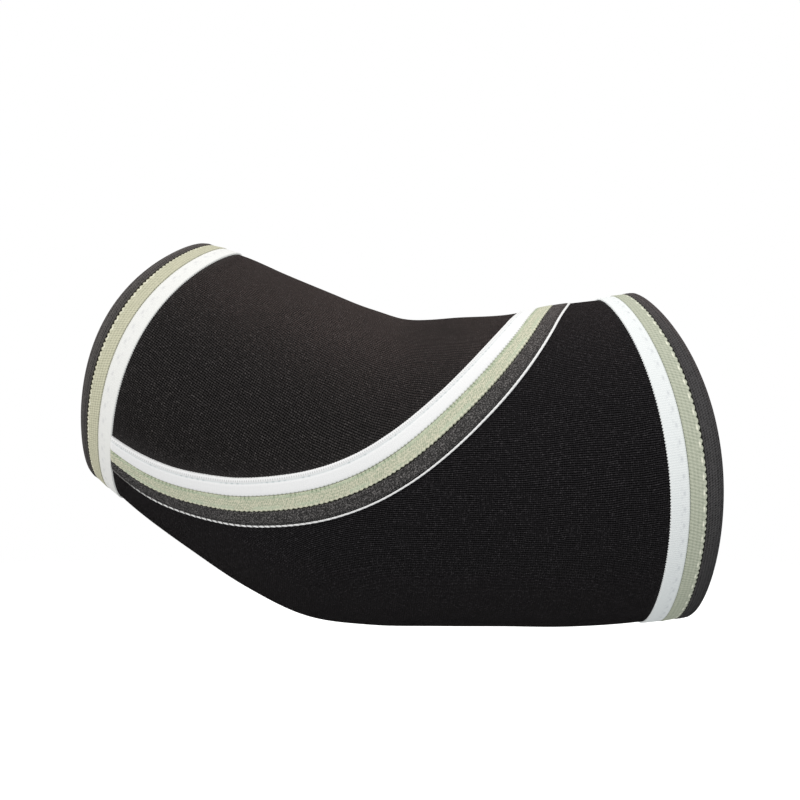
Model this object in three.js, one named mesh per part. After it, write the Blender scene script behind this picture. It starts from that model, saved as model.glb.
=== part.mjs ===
// Pull-on elbow sleeve: two knit-faced neoprene panels joined by a U-shaped seam under a striped tape, and a
// striped cuff with a bound hem at each end. It keeps the bent form in which it is worn.
// Millimetres, +Z up. The bend lies in the XZ plane: the forearm end points to -X and up, the upper-arm end
// to +X, the crook of the elbow faces +Z and its point faces -Z. The origin is the middle of the elbow.
import * as THREE from "three";

// How far each hem's centre lies from the middle of the elbow, sideways and up.
const FOREARM_REACH = 72.2;
const FOREARM_RISE = 37.1;
const UPPER_ARM_REACH = 95.1;
const UPPER_ARM_RISE = 5.6;

// Width from the crook side to the point side, and depth across it, at both hems and at the elbow.
const FOREARM_HEM_WIDTH = 81.8;
const FOREARM_HEM_DEPTH = 77.8;
const ELBOW_WIDTH = 101.6;
const ELBOW_DEPTH = 88.0;
const UPPER_ARM_HEM_WIDTH = 105.4;
const UPPER_ARM_HEM_DEPTH = 94.0;

// How far each hem leans from upright, in degrees, and how far its sides bow outwards.
const FOREARM_HEM_LEAN = 25.5;
const UPPER_ARM_HEM_LEAN = 9.1;
const FOREARM_HEM_BOW = 10.1;
const UPPER_ARM_HEM_BOW = 8.3;
const BOW_TO_CROOK = 0.29;

// The crease at the crook, and how much narrower the section is towards the point of the elbow.
const CROOK_DIP = 0.4;
const CROOK_DIP_LENGTH = 6.5;
const CROOK_AT = 0.473;
const POINT_NARROWING = 0.06;

// Neoprene wall, and the clearance between neighbouring pieces, flat beside and face to face.
const WALL = 3.0;
const CLEARANCE = 0.3;
const LIFT = 0.35;

// The striped seam tape, across from the crook panel to the elbow panel, and how thick each stripe is.
const TAPE_WHITE_WIDTH = 6.2;
const TAPE_SAGE_WIDTH = 4.6;
const TAPE_CHARCOAL_WIDTH = 3.9;
const TAPE_EDGE_WIDTH = 0.8;
const TAPE_WHITE_THICKNESS = 1.1;
const TAPE_SAGE_THICKNESS = 0.9;
const TAPE_CHARCOAL_THICKNESS = 0.7;
const TAPE_EDGE_THICKNESS = 0.5;

// The bands of the two cuffs, from the hem inwards, and how thick they are.
const FOREARM_BINDING_WIDTH = 3.4;
const FOREARM_SAGE_WIDTH = 3.7;
const FOREARM_WHITE_WIDTH = 4.6;
const UPPER_ARM_BINDING_WIDTH = 4.4;
const UPPER_ARM_SAGE_WIDTH = 5.0;
const UPPER_ARM_WHITE_WIDTH = 6.2;
const BAND_WHITE_THICKNESS = 1.1;
const BAND_SAGE_THICKNESS = 0.9;
const BINDING_THICKNESS = 0.9;
const BINDING_NOSE = 1.7;
const BINDING_INNER_WIDTH = 3.2;

// How much narrower each cuff is at the crook, as a share of its width.
const FOREARM_CROOK_SQUEEZE = 0.03;
const UPPER_ARM_CROOK_SQUEEZE = 0.39;

// Where the seam's U crosses the crook, as a share of the sleeve's length, and where it starts at the forearm
// hem, in degrees round from the crook.
const SEAM_TIP_ALONG = 0.792;
const SEAM_START_TURN = 131;

// How finely each piece is divided.
const SEAM_STEPS = 24;
const SEAM_SIDE_STEPS = 12;
const POINT_STEPS = 6;
const ELBOW_PANEL_ROWS = 15;
const TAPE_STEPS = 22;
const RING_STEPS = 44;
const NOSE_STEPS = 5;

const FOREARM = {
  end: 0, reach: -FOREARM_REACH, rise: FOREARM_RISE, width: FOREARM_HEM_WIDTH, depth: FOREARM_HEM_DEPTH,
  bow: -FOREARM_HEM_BOW, squeeze: FOREARM_CROOK_SQUEEZE, binding: FOREARM_BINDING_WIDTH,
  sage: FOREARM_SAGE_WIDTH, white: FOREARM_WHITE_WIDTH,
};
const UPPER_ARM = {
  end: 1, reach: UPPER_ARM_REACH, rise: UPPER_ARM_RISE, width: UPPER_ARM_HEM_WIDTH, depth: UPPER_ARM_HEM_DEPTH,
  bow: UPPER_ARM_HEM_BOW, squeeze: UPPER_ARM_CROOK_SQUEEZE, binding: UPPER_ARM_BINDING_WIDTH,
  sage: UPPER_ARM_SAGE_WIDTH, white: UPPER_ARM_WHITE_WIDTH,
};

// Sections at even steps from the forearm hem to the upper-arm hem. reach and rise place the section's centre,
// as shares of that limb's. elbow is how far its width and depth have come from the hem's to the elbow's.
const SECTIONS = [
  { limb: FOREARM, reach: 1.000, rise: 1.000, elbow: 0.00 },
  { limb: FOREARM, reach: 0.805, rise: 0.772, elbow: 0.44 },
  { limb: FOREARM, reach: 0.590, rise: 0.520, elbow: 0.70 },
  { limb: FOREARM, reach: 0.371, rise: 0.283, elbow: 0.94 },
  { limb: FOREARM, reach: 0.141, rise: 0.084, elbow: 1.06 },
  { limb: UPPER_ARM, reach: 0.079, rise: -0.020, elbow: 1.10 },
  { limb: UPPER_ARM, reach: 0.270, rise: 0.000, elbow: 1.00 },
  { limb: UPPER_ARM, reach: 0.461, rise: 0.070, elbow: 0.84 },
  { limb: UPPER_ARM, reach: 0.650, rise: 0.320, elbow: 0.05 },
  { limb: UPPER_ARM, reach: 0.840, rise: 0.610, elbow: -0.20 },
  { limb: UPPER_ARM, reach: 1.000, rise: 1.000, elbow: 0.00 },
];

// The seam at even steps from the forearm hem to the tip of the U. along is the share of the way to the tip,
// and turn the share of the seam's starting angle from the crook.
const SEAM = [
  { along: 0.000, turn: 1.000 },
  { along: 0.161, turn: 0.982 },
  { along: 0.309, turn: 0.898 },
  { along: 0.456, turn: 0.785 },
  { along: 0.593, turn: 0.672 },
  { along: 0.715, turn: 0.542 },
  { along: 0.827, turn: 0.387 },
  { along: 0.929, turn: 0.200 },
  { along: 1.000, turn: 0.000 },
];

const { degToRad, lerp, clamp } = THREE.MathUtils;

// The turn round a section at which the crook lies.
const CROOK = Math.PI / 2;

// A smooth curve through evenly spaced values, read at a share of its length. before and after are the values
// one step past its ends.
function smoothThrough(values, share, before, after) {
  const steps = values.length - 1;
  const place = clamp(share, 0, 1) * steps;
  const index = Math.min(Math.floor(place), steps - 1);
  const f = place - index;
  const a = index > 0 ? values[index - 1] : before;
  const b = values[index];
  const c = values[index + 1];
  const d = index < steps - 1 ? values[index + 2] : after;
  const linear = (c - a) * f;
  const square = (2 * a - 5 * b + 4 * c - d) * f ** 2;
  const cube = (3 * b - a - 3 * c + d) * f ** 3;
  return (2 * b + linear + square + cube) / 2;
}

function column(values, share) {
  const last = values.length - 1;
  return smoothThrough(values, share, 2 * values[0] - values[1], 2 * values[last] - values[last - 1]);
}

const CENTRES_X = SECTIONS.map(({ limb, reach }) => limb.reach * reach);
const CENTRES_Z = SECTIONS.map(({ limb, rise }) => limb.rise * rise);
const HALF_WIDTHS = SECTIONS.map(({ limb, elbow }) => lerp(limb.width, ELBOW_WIDTH, elbow) / 2);
const HALF_DEPTHS = SECTIONS.map(({ limb, elbow }) => lerp(limb.depth, ELBOW_DEPTH, elbow) / 2);

// The crook's own length, from hem to hem, sets how much of it the dip takes.
const CROOK_LENGTH = Math.hypot(FOREARM_REACH, FOREARM_RISE) + UPPER_ARM_REACH;

// A point of the sleeve's outer face. along runs from 0 at the forearm hem to 1 at the upper-arm hem. turn is
// the angle round it: 0 on the near side (-Y), a right angle at the crook, minus that at the point.
function skinPoint(along, turn) {
  const lean = degToRad(lerp(-FOREARM_HEM_LEAN, UPPER_ARM_HEM_LEAN, along));
  const toCrook = new THREE.Vector3(-Math.sin(lean), 0, Math.cos(lean));
  const toUpperArm = new THREE.Vector3(Math.cos(lean), 0, Math.sin(lean));
  const up = Math.sin(turn);
  const side = Math.cos(turn);
  const dipPlace = ((along - CROOK_AT) * CROOK_LENGTH) / CROOK_DIP_LENGTH;
  const dip = CROOK_DIP * Math.exp(-(dipPlace ** 2)) * Math.max(up, 0) ** 4;
  const height = column(HALF_WIDTHS, along) * up - dip;
  const depth = column(HALF_DEPTHS, along) * side * (1 - POINT_NARROWING * Math.max(-up, 0) ** 2);
  const forearmBow = FOREARM.bow * Math.max(1 - 2 * along, 0) ** 1.5;
  const upperArmBow = UPPER_ARM.bow * Math.max(2 * along - 1, 0) ** 1.5;
  const bow = (forearmBow + upperArmBow) * side ** 2 * (1 + BOW_TO_CROOK * up);
  const point = new THREE.Vector3(column(CENTRES_X, along), -depth, column(CENTRES_Z, along));
  return point.addScaledVector(toCrook, height).addScaledVector(toUpperArm, bow);
}

// The two directions along the outer face, per unit of along and of turn, and the outward normal.
function skinFrame(along, turn) {
  const step = 1e-3;
  const before = Math.max(along - step, 0);
  const after = Math.min(along + step, 1);
  const lengthways = skinPoint(after, turn).sub(skinPoint(before, turn)).divideScalar(after - before);
  const round = skinPoint(along, turn + step).sub(skinPoint(along, turn - step)).divideScalar(2 * step);
  const normal = lengthways.clone().cross(round).normalize();
  return { lengthways, round, normal };
}

// A point at a height above the outer face, or below it where the height is negative.
function offSkin({ along, turn }, height) {
  return skinPoint(along, turn).addScaledVector(skinFrame(along, turn).normal, height);
}

// The place at a distance in from a hem, with the cuff drawn together towards the crook.
function inFromHem(limb, turn, distance) {
  const pace = skinFrame(Math.abs(limb.end - 0.04), turn).lengthways.length();
  const squeeze = 1 - limb.squeeze * Math.max(Math.sin(turn), 0) ** 2;
  const share = (distance * squeeze) / pace;
  return { along: Math.abs(limb.end - share), turn };
}

// The far side mirrors the near side.
function mirrored({ along, turn }) {
  return { along, turn: Math.PI - turn };
}

// How far in from each hem the panels end, inside the binding's nose.
const PANEL_EDGE = 0.85 * BINDING_NOSE;

// The seam's near half. share runs from 0 at the forearm edge to 1 at the tip of the U.
function seamPlace(share) {
  const alongs = SEAM.map((row) => row.along);
  const turns = SEAM.map((row) => row.turn);
  const last = SEAM.length - 1;
  const along = smoothThrough(alongs, share, -alongs[1], alongs[last - 1]);
  const fromCrook = smoothThrough(turns, share, 2 - turns[1], -turns[last - 1]);
  const turn = CROOK - degToRad(SEAM_START_TURN) * fromCrook;
  const edge = inFromHem(FOREARM, turn, PANEL_EDGE).along;
  return { along: lerp(edge, SEAM_TIP_ALONG, along), turn };
}

// A place beside the seam, across it by a distance: towards the crook panel if positive.
function besideSeam(share, across) {
  const step = 1e-3;
  const here = seamPlace(share);
  const before = seamPlace(Math.max(share - step, 0));
  const after = share + step > 1 ? mirrored(seamPlace(2 - share - step)) : seamPlace(share + step);
  const { lengthways, round, normal } = skinFrame(here.along, here.turn);
  const run = lengthways.clone().multiplyScalar(after.along - before.along);
  run.addScaledVector(round, after.turn - before.turn).normalize();
  const aside = normal.clone().cross(run).multiplyScalar(across);
  // Two equations give the steps along and round whose sum is the step aside.
  const ll = lengthways.dot(lengthways);
  const lr = lengthways.dot(round);
  const rr = round.dot(round);
  const al = aside.dot(lengthways);
  const ar = aside.dot(round);
  const det = ll * rr - lr * lr;
  return { along: here.along + (al * rr - ar * lr) / det, turn: here.turn + (ar * ll - al * lr) / det };
}

// A closed solid through loops of points. Point i of a loop faces point n - 1 - i across its thickness. closed
// joins the last loop to the first, and otherwise both end loops are covered.
function solidThrough(loops, closed) {
  const size = loops[0].length;
  const positions = loops.flat().flatMap((point) => point.toArray());
  const faces = [];
  const quad = (a, b, c, d) => faces.push(a, b, c, a, c, d);
  const spans = closed ? loops.length : loops.length - 1;
  for (let i = 0; i < spans; i += 1) {
    const here = i * size;
    const next = ((i + 1) % loops.length) * size;
    for (let j = 0; j < size; j += 1) {
      const k = (j + 1) % size;
      quad(here + j, here + k, next + k, next + j);
    }
  }
  if (!closed) {
    const end = (loops.length - 1) * size;
    for (let j = 0; j < size / 2 - 1; j += 1) {
      const far = size - 1 - j;
      quad(j, far, far - 1, j + 1);
      quad(end + j, end + j + 1, end + far - 1, end + far);
    }
  }
  if (enclosedVolume(positions, faces) < 0) {
    faces.reverse();
  }
  const geometry = new THREE.BufferGeometry();
  geometry.setAttribute("position", new THREE.Float32BufferAttribute(positions, 3));
  geometry.setIndex(faces);
  geometry.computeVertexNormals();
  return geometry;
}

function enclosedVolume(positions, faces) {
  const corner = (index) => new THREE.Vector3().fromArray(positions, 3 * index);
  let volume = 0;
  for (let i = 0; i < faces.length; i += 3) {
    volume += corner(faces[i]).dot(corner(faces[i + 1]).cross(corner(faces[i + 2]))) / 6;
  }
  return volume;
}

// A wall's loop: its outer face along the places, then its inner face back.
function wallLoop(places, top, bottom) {
  const outer = places.map((place) => offSkin(place, top));
  const inner = places.map((place) => offSkin(place, bottom)).reverse();
  return [...outer, ...inner];
}

// Even shares from 0 to 1.
function shares(steps) {
  return Array.from({ length: steps + 1 }, (_, i) => i / steps);
}

// A row of near-side places, from anywhere to the crook, carried on over the far side.
function overCrook(near) {
  return [...near, ...near.slice(0, -1).reverse().map(mirrored)];
}

// The tongue over the crook: a grid stretched between the forearm edge and three stretches of the seam.
function crookPanel() {
  const across = CLEARANCE / 2;
  const seam = shares(SEAM_STEPS).map((share) => besideSeam(share, across));
  const side = seam.slice(0, SEAM_SIDE_STEPS + 1);
  const tip = overCrook(seam.slice(SEAM_SIDE_STEPS));
  const start = side[0].turn;
  const hem = shares(tip.length - 1).map((share) => {
    const turn = lerp(start, Math.PI - start, share);
    return inFromHem(FOREARM, turn, PANEL_EDGE);
  });
  const farSide = side.map(mirrored);
  const blend = (key, a, b, i, j) => {
    const between = lerp(hem[i][key], tip[i][key], b) + lerp(side[j][key], farSide[j][key], a);
    const low = lerp(hem[0][key], hem[hem.length - 1][key], a);
    const high = lerp(tip[0][key], tip[tip.length - 1][key], a);
    return between - lerp(low, high, b);
  };
  const loops = shares(SEAM_SIDE_STEPS).map((b, j) => {
    const places = shares(tip.length - 1).map((a, i) => ({
      along: blend("along", a, b, i, j),
      turn: blend("turn", a, b, i, j),
    }));
    return wallLoop(places, 0, -WALL);
  });
  return solidThrough(loops, false);
}

// The rest of the tube: from the seam and the point side of the forearm edge to the whole upper-arm edge.
function elbowPanel() {
  const nearSteps = SEAM_STEPS + POINT_STEPS;
  const seam = shares(SEAM_STEPS).map((share) => besideSeam(1 - share, -CLEARANCE / 2));
  const hemStart = seam[SEAM_STEPS].turn;
  const hem = shares(POINT_STEPS).slice(1).map((share) => {
    return inFromHem(FOREARM, lerp(hemStart, -CROOK, share), PANEL_EDGE);
  });
  const left = [...seam, ...hem];
  const near = left.map((from, i) => {
    const to = inFromHem(UPPER_ARM, lerp(CROOK, -CROOK, i / nearSteps), PANEL_EDGE);
    return shares(ELBOW_PANEL_ROWS).map((share) => ({
      along: lerp(from.along, to.along, share),
      turn: lerp(from.turn, to.turn, share),
    }));
  });
  const far = near.slice(1, -1).reverse().map((places) => places.map(mirrored));
  const loops = [...near, ...far].map((places) => wallLoop(places, 0, -WALL));
  return solidThrough(loops, true);
}

const TAPE_WIDTH = TAPE_WHITE_WIDTH + TAPE_SAGE_WIDTH + TAPE_CHARCOAL_WIDTH + TAPE_EDGE_WIDTH + 3 * CLEARANCE;

// The share of the seam at which a line beside it comes out from under the forearm cuff.
function tapeStart(across) {
  const cuff = FOREARM.binding + FOREARM.sage + FOREARM.white + 3 * CLEARANCE;
  let low = 0;
  let high = 0.5;
  for (let i = 0; i < 30; i += 1) {
    const middle = (low + high) / 2;
    const place = besideSeam(middle, across);
    if (place.along < inFromHem(FOREARM, place.turn, cuff).along) {
      low = middle;
    } else {
      high = middle;
    }
  }
  return high;
}

// One stripe of the seam tape, from cuff to cuff round the tip of the U, crowned along its middle.
function seamStripe(from, width, thickness) {
  const lines = [from, from - width / 2, from - width];
  const crown = [0.85, 1, 0.85];
  const starts = lines.map(tapeStart);
  const near = shares(TAPE_STEPS).map((share) => {
    return lines.map((across, i) => besideSeam(lerp(starts[i], 1, share), across));
  });
  const far = near.slice(0, -1).reverse().map((places) => places.map(mirrored));
  const loops = [...near, ...far].map((places) => {
    const top = places.map((place, i) => offSkin(place, LIFT + thickness * crown[i]));
    const bottom = places.map((place) => offSkin(place, LIFT)).reverse();
    return [...top, ...bottom];
  });
  return solidThrough(loops, false);
}

// A ring round the sleeve from a profile of points, each a distance in from the hem and a height off the skin.
function ringThrough(limb, profile) {
  const loops = shares(RING_STEPS).slice(0, -1).map((share) => {
    const turn = CROOK - 2 * Math.PI * share;
    return profile.map(([distance, height]) => offSkin(inFromHem(limb, turn, distance), height));
  });
  return solidThrough(loops, true);
}

// A flat band of a cuff, crowned along its middle.
function cuffBand(limb, from, width, thickness) {
  return ringThrough(limb, [
    [from, LIFT],
    [from, LIFT + 0.85 * thickness],
    [from + width / 2, LIFT + thickness],
    [from + width, LIFT + 0.85 * thickness],
    [from + width, LIFT],
    [from + width / 2, LIFT],
  ]);
}

// The binding: outer leg, rounded nose past the panel's edge, and inner leg, with a channel for the wall.
function cuffBinding(limb) {
  const middle = -WALL / 2;
  const reach = WALL / 2 + LIFT + BINDING_THICKNESS;
  const nose = shares(NOSE_STEPS + 1).map((share) => {
    const angle = Math.PI * share;
    return [BINDING_NOSE * (1 - Math.sin(angle)), middle + reach * Math.cos(angle)];
  });
  const floor = PANEL_EDGE - CLEARANCE;
  return ringThrough(limb, [
    [limb.binding, LIFT],
    [limb.binding, LIFT + BINDING_THICKNESS],
    ...nose,
    [BINDING_INNER_WIDTH, middle - reach],
    [BINDING_INNER_WIDTH, -WALL - LIFT],
    [floor, -WALL - LIFT],
    [floor, LIFT],
  ]);
}

const KNIT_BLACK = 0x1d1c1e;
const KNIT_BLACK_WARM = 0x2b2829;
const TAPE_WHITE = 0xe7e8e7;
const TAPE_SAGE = 0xc1c4ad;
const TAPE_CHARCOAL = 0x46423f;

const sleeve = new THREE.Group();

function addPiece(name, geometry, color) {
  const material = new THREE.MeshStandardMaterial({ color, roughness: 0.9, metalness: 0 });
  const mesh = new THREE.Mesh(geometry, material);
  mesh.name = name;
  sleeve.add(mesh);
}

function addPanels() {
  addPiece("crook_panel", crookPanel(), KNIT_BLACK_WARM);
  addPiece("elbow_panel", elbowPanel(), KNIT_BLACK);
}

function addSeamTape() {
  const whiteFrom = TAPE_WIDTH / 2;
  const sageFrom = whiteFrom - TAPE_WHITE_WIDTH - CLEARANCE;
  const charcoalFrom = sageFrom - TAPE_SAGE_WIDTH - CLEARANCE;
  const edgeFrom = charcoalFrom - TAPE_CHARCOAL_WIDTH - CLEARANCE;
  addPiece("seam_tape_white", seamStripe(whiteFrom, TAPE_WHITE_WIDTH, TAPE_WHITE_THICKNESS), TAPE_WHITE);
  addPiece("seam_tape_sage", seamStripe(sageFrom, TAPE_SAGE_WIDTH, TAPE_SAGE_THICKNESS), TAPE_SAGE);
  addPiece(
    "seam_tape_charcoal",
    seamStripe(charcoalFrom, TAPE_CHARCOAL_WIDTH, TAPE_CHARCOAL_THICKNESS),
    TAPE_CHARCOAL,
  );
  addPiece("seam_edge_white", seamStripe(edgeFrom, TAPE_EDGE_WIDTH, TAPE_EDGE_THICKNESS), TAPE_WHITE);
}

function addCuff(name, limb) {
  const sageFrom = limb.binding + CLEARANCE;
  const whiteFrom = sageFrom + limb.sage + CLEARANCE;
  addPiece(`${name}_band_white`, cuffBand(limb, whiteFrom, limb.white, BAND_WHITE_THICKNESS), TAPE_WHITE);
  addPiece(`${name}_band_sage`, cuffBand(limb, sageFrom, limb.sage, BAND_SAGE_THICKNESS), TAPE_SAGE);
  addPiece(`${name}_binding_charcoal`, cuffBinding(limb), TAPE_CHARCOAL);
}

addPanels();
addSeamTape();
addCuff("forearm", FOREARM);
addCuff("upper_arm", UPPER_ARM);

export default sleeve;
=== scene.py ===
"""Looks of a pull-on elbow sleeve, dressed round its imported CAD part.

The sleeve is two panels of knit-faced neoprene, joined by a U-shaped seam. A striped tape covers the
seam, and each hem has a striped cuff with a bound edge. All shapes are worked out with numpy on the same
skin as the CAD part, in millimetres, and become meshes in metres.
"""

import logging
import math
from dataclasses import dataclass
from enum import Enum
from typing import Optional, Sequence, Union

import bpy
import numpy as np
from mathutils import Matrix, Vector


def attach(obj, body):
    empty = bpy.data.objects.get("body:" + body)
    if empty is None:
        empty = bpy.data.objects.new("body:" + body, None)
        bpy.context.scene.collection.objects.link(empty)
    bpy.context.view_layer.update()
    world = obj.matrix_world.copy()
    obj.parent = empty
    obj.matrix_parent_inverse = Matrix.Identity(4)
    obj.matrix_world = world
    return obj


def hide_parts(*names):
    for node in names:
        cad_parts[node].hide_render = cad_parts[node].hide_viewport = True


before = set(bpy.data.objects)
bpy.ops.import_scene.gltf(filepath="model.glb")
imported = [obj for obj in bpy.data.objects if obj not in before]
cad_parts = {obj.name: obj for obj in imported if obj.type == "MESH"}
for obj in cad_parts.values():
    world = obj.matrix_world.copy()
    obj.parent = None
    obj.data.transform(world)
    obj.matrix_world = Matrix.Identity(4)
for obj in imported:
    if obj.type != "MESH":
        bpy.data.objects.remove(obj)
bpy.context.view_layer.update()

LOG = logging.getLogger("elbow_sleeve")

Array = np.ndarray
Number = Union[int, float]
Amount = Union[int, float, np.ndarray]

# A millimetre in metres, the turn at the middle of the crook, and the step over which slopes are measured.
MM = 0.001
CROOK = math.pi / 2
STEP = 1e-3

# Heights and gaps in millimetres: over the knit, under the CAD part's trims, and from stripe to stripe.
KNIT_GAP = 0.05
TRIM_LIFT = 0.35
STRIPE_GAP = 0.3

# How far in from a hem the binding's round edge starts, and the neoprene inside it ends.
NOSE = 1.7
PANEL_EDGE = 0.85 * NOSE


# Shapes: the skin that the CAD part stands on, and the seam that runs over it.


@dataclass(frozen=True)
class Limb:
    """One end of the sleeve, in millimetres and degrees.

    Attributes:
        end: The hem's place along the sleeve, 0 or 1.
        reach: How far the middle of the hem is from the elbow, level.
        rise: How far it is above the elbow.
        width: The hem's size in the plane of the bend.
        depth: The hem's size square to that plane.
        lean: How far the hem's plane leans.
        bow: How far the hem's sides bow outwards.
        squeeze: How much the cuff is drawn together in the crook, as a share.
        binding: Width of the binding's outer leg.
        sage: Width of the sage band.
        white: Width of the white band.
        girth: Length round the hem.
        teeth: Number of teeth along the sage band.
    """

    end: float
    reach: float
    rise: float
    width: float
    depth: float
    lean: float
    bow: float
    squeeze: float
    binding: float
    sage: float
    white: float
    girth: float
    teeth: int

    @property
    def tooth_pitch(self) -> float:
        """From one tooth of the sage band to the next."""
        return self.girth / self.teeth


FOREARM = Limb(
    end=0.0, reach=-72.2, rise=37.1, width=81.8, depth=77.8, lean=-25.5, bow=-10.1, squeeze=0.03,
    binding=3.4, sage=3.9, white=4.8, girth=252.0, teeth=180,
)
UPPER_ARM = Limb(
    end=1.0, reach=95.1, rise=5.6, width=105.4, depth=94.0, lean=9.1, bow=8.3, squeeze=0.24,
    binding=4.7, sage=4.65, white=5.4, girth=315.0, teeth=165,
)

# Sections at even steps from the forearm hem: the limb, its shares of reach and rise, and the way from the
# limb's size to the elbow's.
SECTIONS = (
    (FOREARM, 1.000, 1.000, 0.00),
    (FOREARM, 0.805, 0.772, 0.44),
    (FOREARM, 0.590, 0.520, 0.70),
    (FOREARM, 0.371, 0.283, 0.94),
    (FOREARM, 0.141, 0.084, 1.06),
    (UPPER_ARM, 0.079, -0.020, 1.10),
    (UPPER_ARM, 0.270, 0.000, 1.00),
    (UPPER_ARM, 0.461, 0.070, 0.84),
    (UPPER_ARM, 0.650, 0.320, 0.05),
    (UPPER_ARM, 0.840, 0.610, -0.20),
    (UPPER_ARM, 1.000, 1.000, 0.00),
)

# The seam at even steps from the forearm hem to the tip of its U: shares of the way along and round.
SEAM_ALONG = (0.000, 0.161, 0.309, 0.456, 0.593, 0.715, 0.827, 0.929, 1.000)
SEAM_TURN = (1.000, 0.982, 0.898, 0.785, 0.672, 0.542, 0.387, 0.200, 0.000)


def smooth_through(values: Sequence[float], share: Array, before: float, after: float) -> Array:
    """Reads a smooth curve through evenly spaced values.

    The curve is a Catmull-Rom spline: between two values it is a cubic whose slope at each value is half the
    difference of that value's two neighbours.

    Args:
        values: The values that the curve passes through.
        share: Where to read it, from 0 at the first value to 1 at the last.
        before: The value one step before the first.
        after: The value one step after the last.

    Returns:
        The curve's value at each share.
    """
    knots = np.concatenate([[before], np.asarray(values, float), [after]])
    place = np.clip(share, 0.0, 1.0) * (len(values) - 1)
    index = np.minimum(place.astype(int), len(values) - 2)
    f = place - index
    a, b, c, d = (knots[index + k] for k in range(4))
    linear = (c - a) * f
    square = (2 * a - 5 * b + 4 * c - d) * f**2
    cube = (3 * b - a - 3 * c + d) * f**3
    return (2 * b + linear + square + cube) / 2


def section_curve(values: Sequence[float], along: Array) -> Array:
    """Reads a smooth curve through the sections' values, carried straight on past the hems."""
    return smooth_through(values, along, 2 * values[0] - values[1], 2 * values[-1] - values[-2])


def lerp(a: Amount, b: Amount, t: Amount) -> Amount:
    """Goes from a to b as t goes from 0 to 1."""
    return a + (b - a) * t


def smoothstep(low: float, high: float, x: Array) -> Array:
    """Rises from 0 to 1 between low and high, level at both ends."""
    t = np.clip((x - low) / (high - low), 0.0, 1.0)
    return t * t * (3 - 2 * t)


def dot(a: Array, b: Array) -> Array:
    """Dot products of vectors."""
    return (a * b).sum(-1)


def unit(v: Array) -> Array:
    """Scales vectors to length one."""
    return v / np.linalg.norm(v, axis=-1, keepdims=True)


@dataclass(frozen=True)
class Place:
    """Places on the skin. along is 0 at the forearm hem and 1 at the other. turn is 0 on the near side."""

    along: Array
    turn: Array


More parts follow.
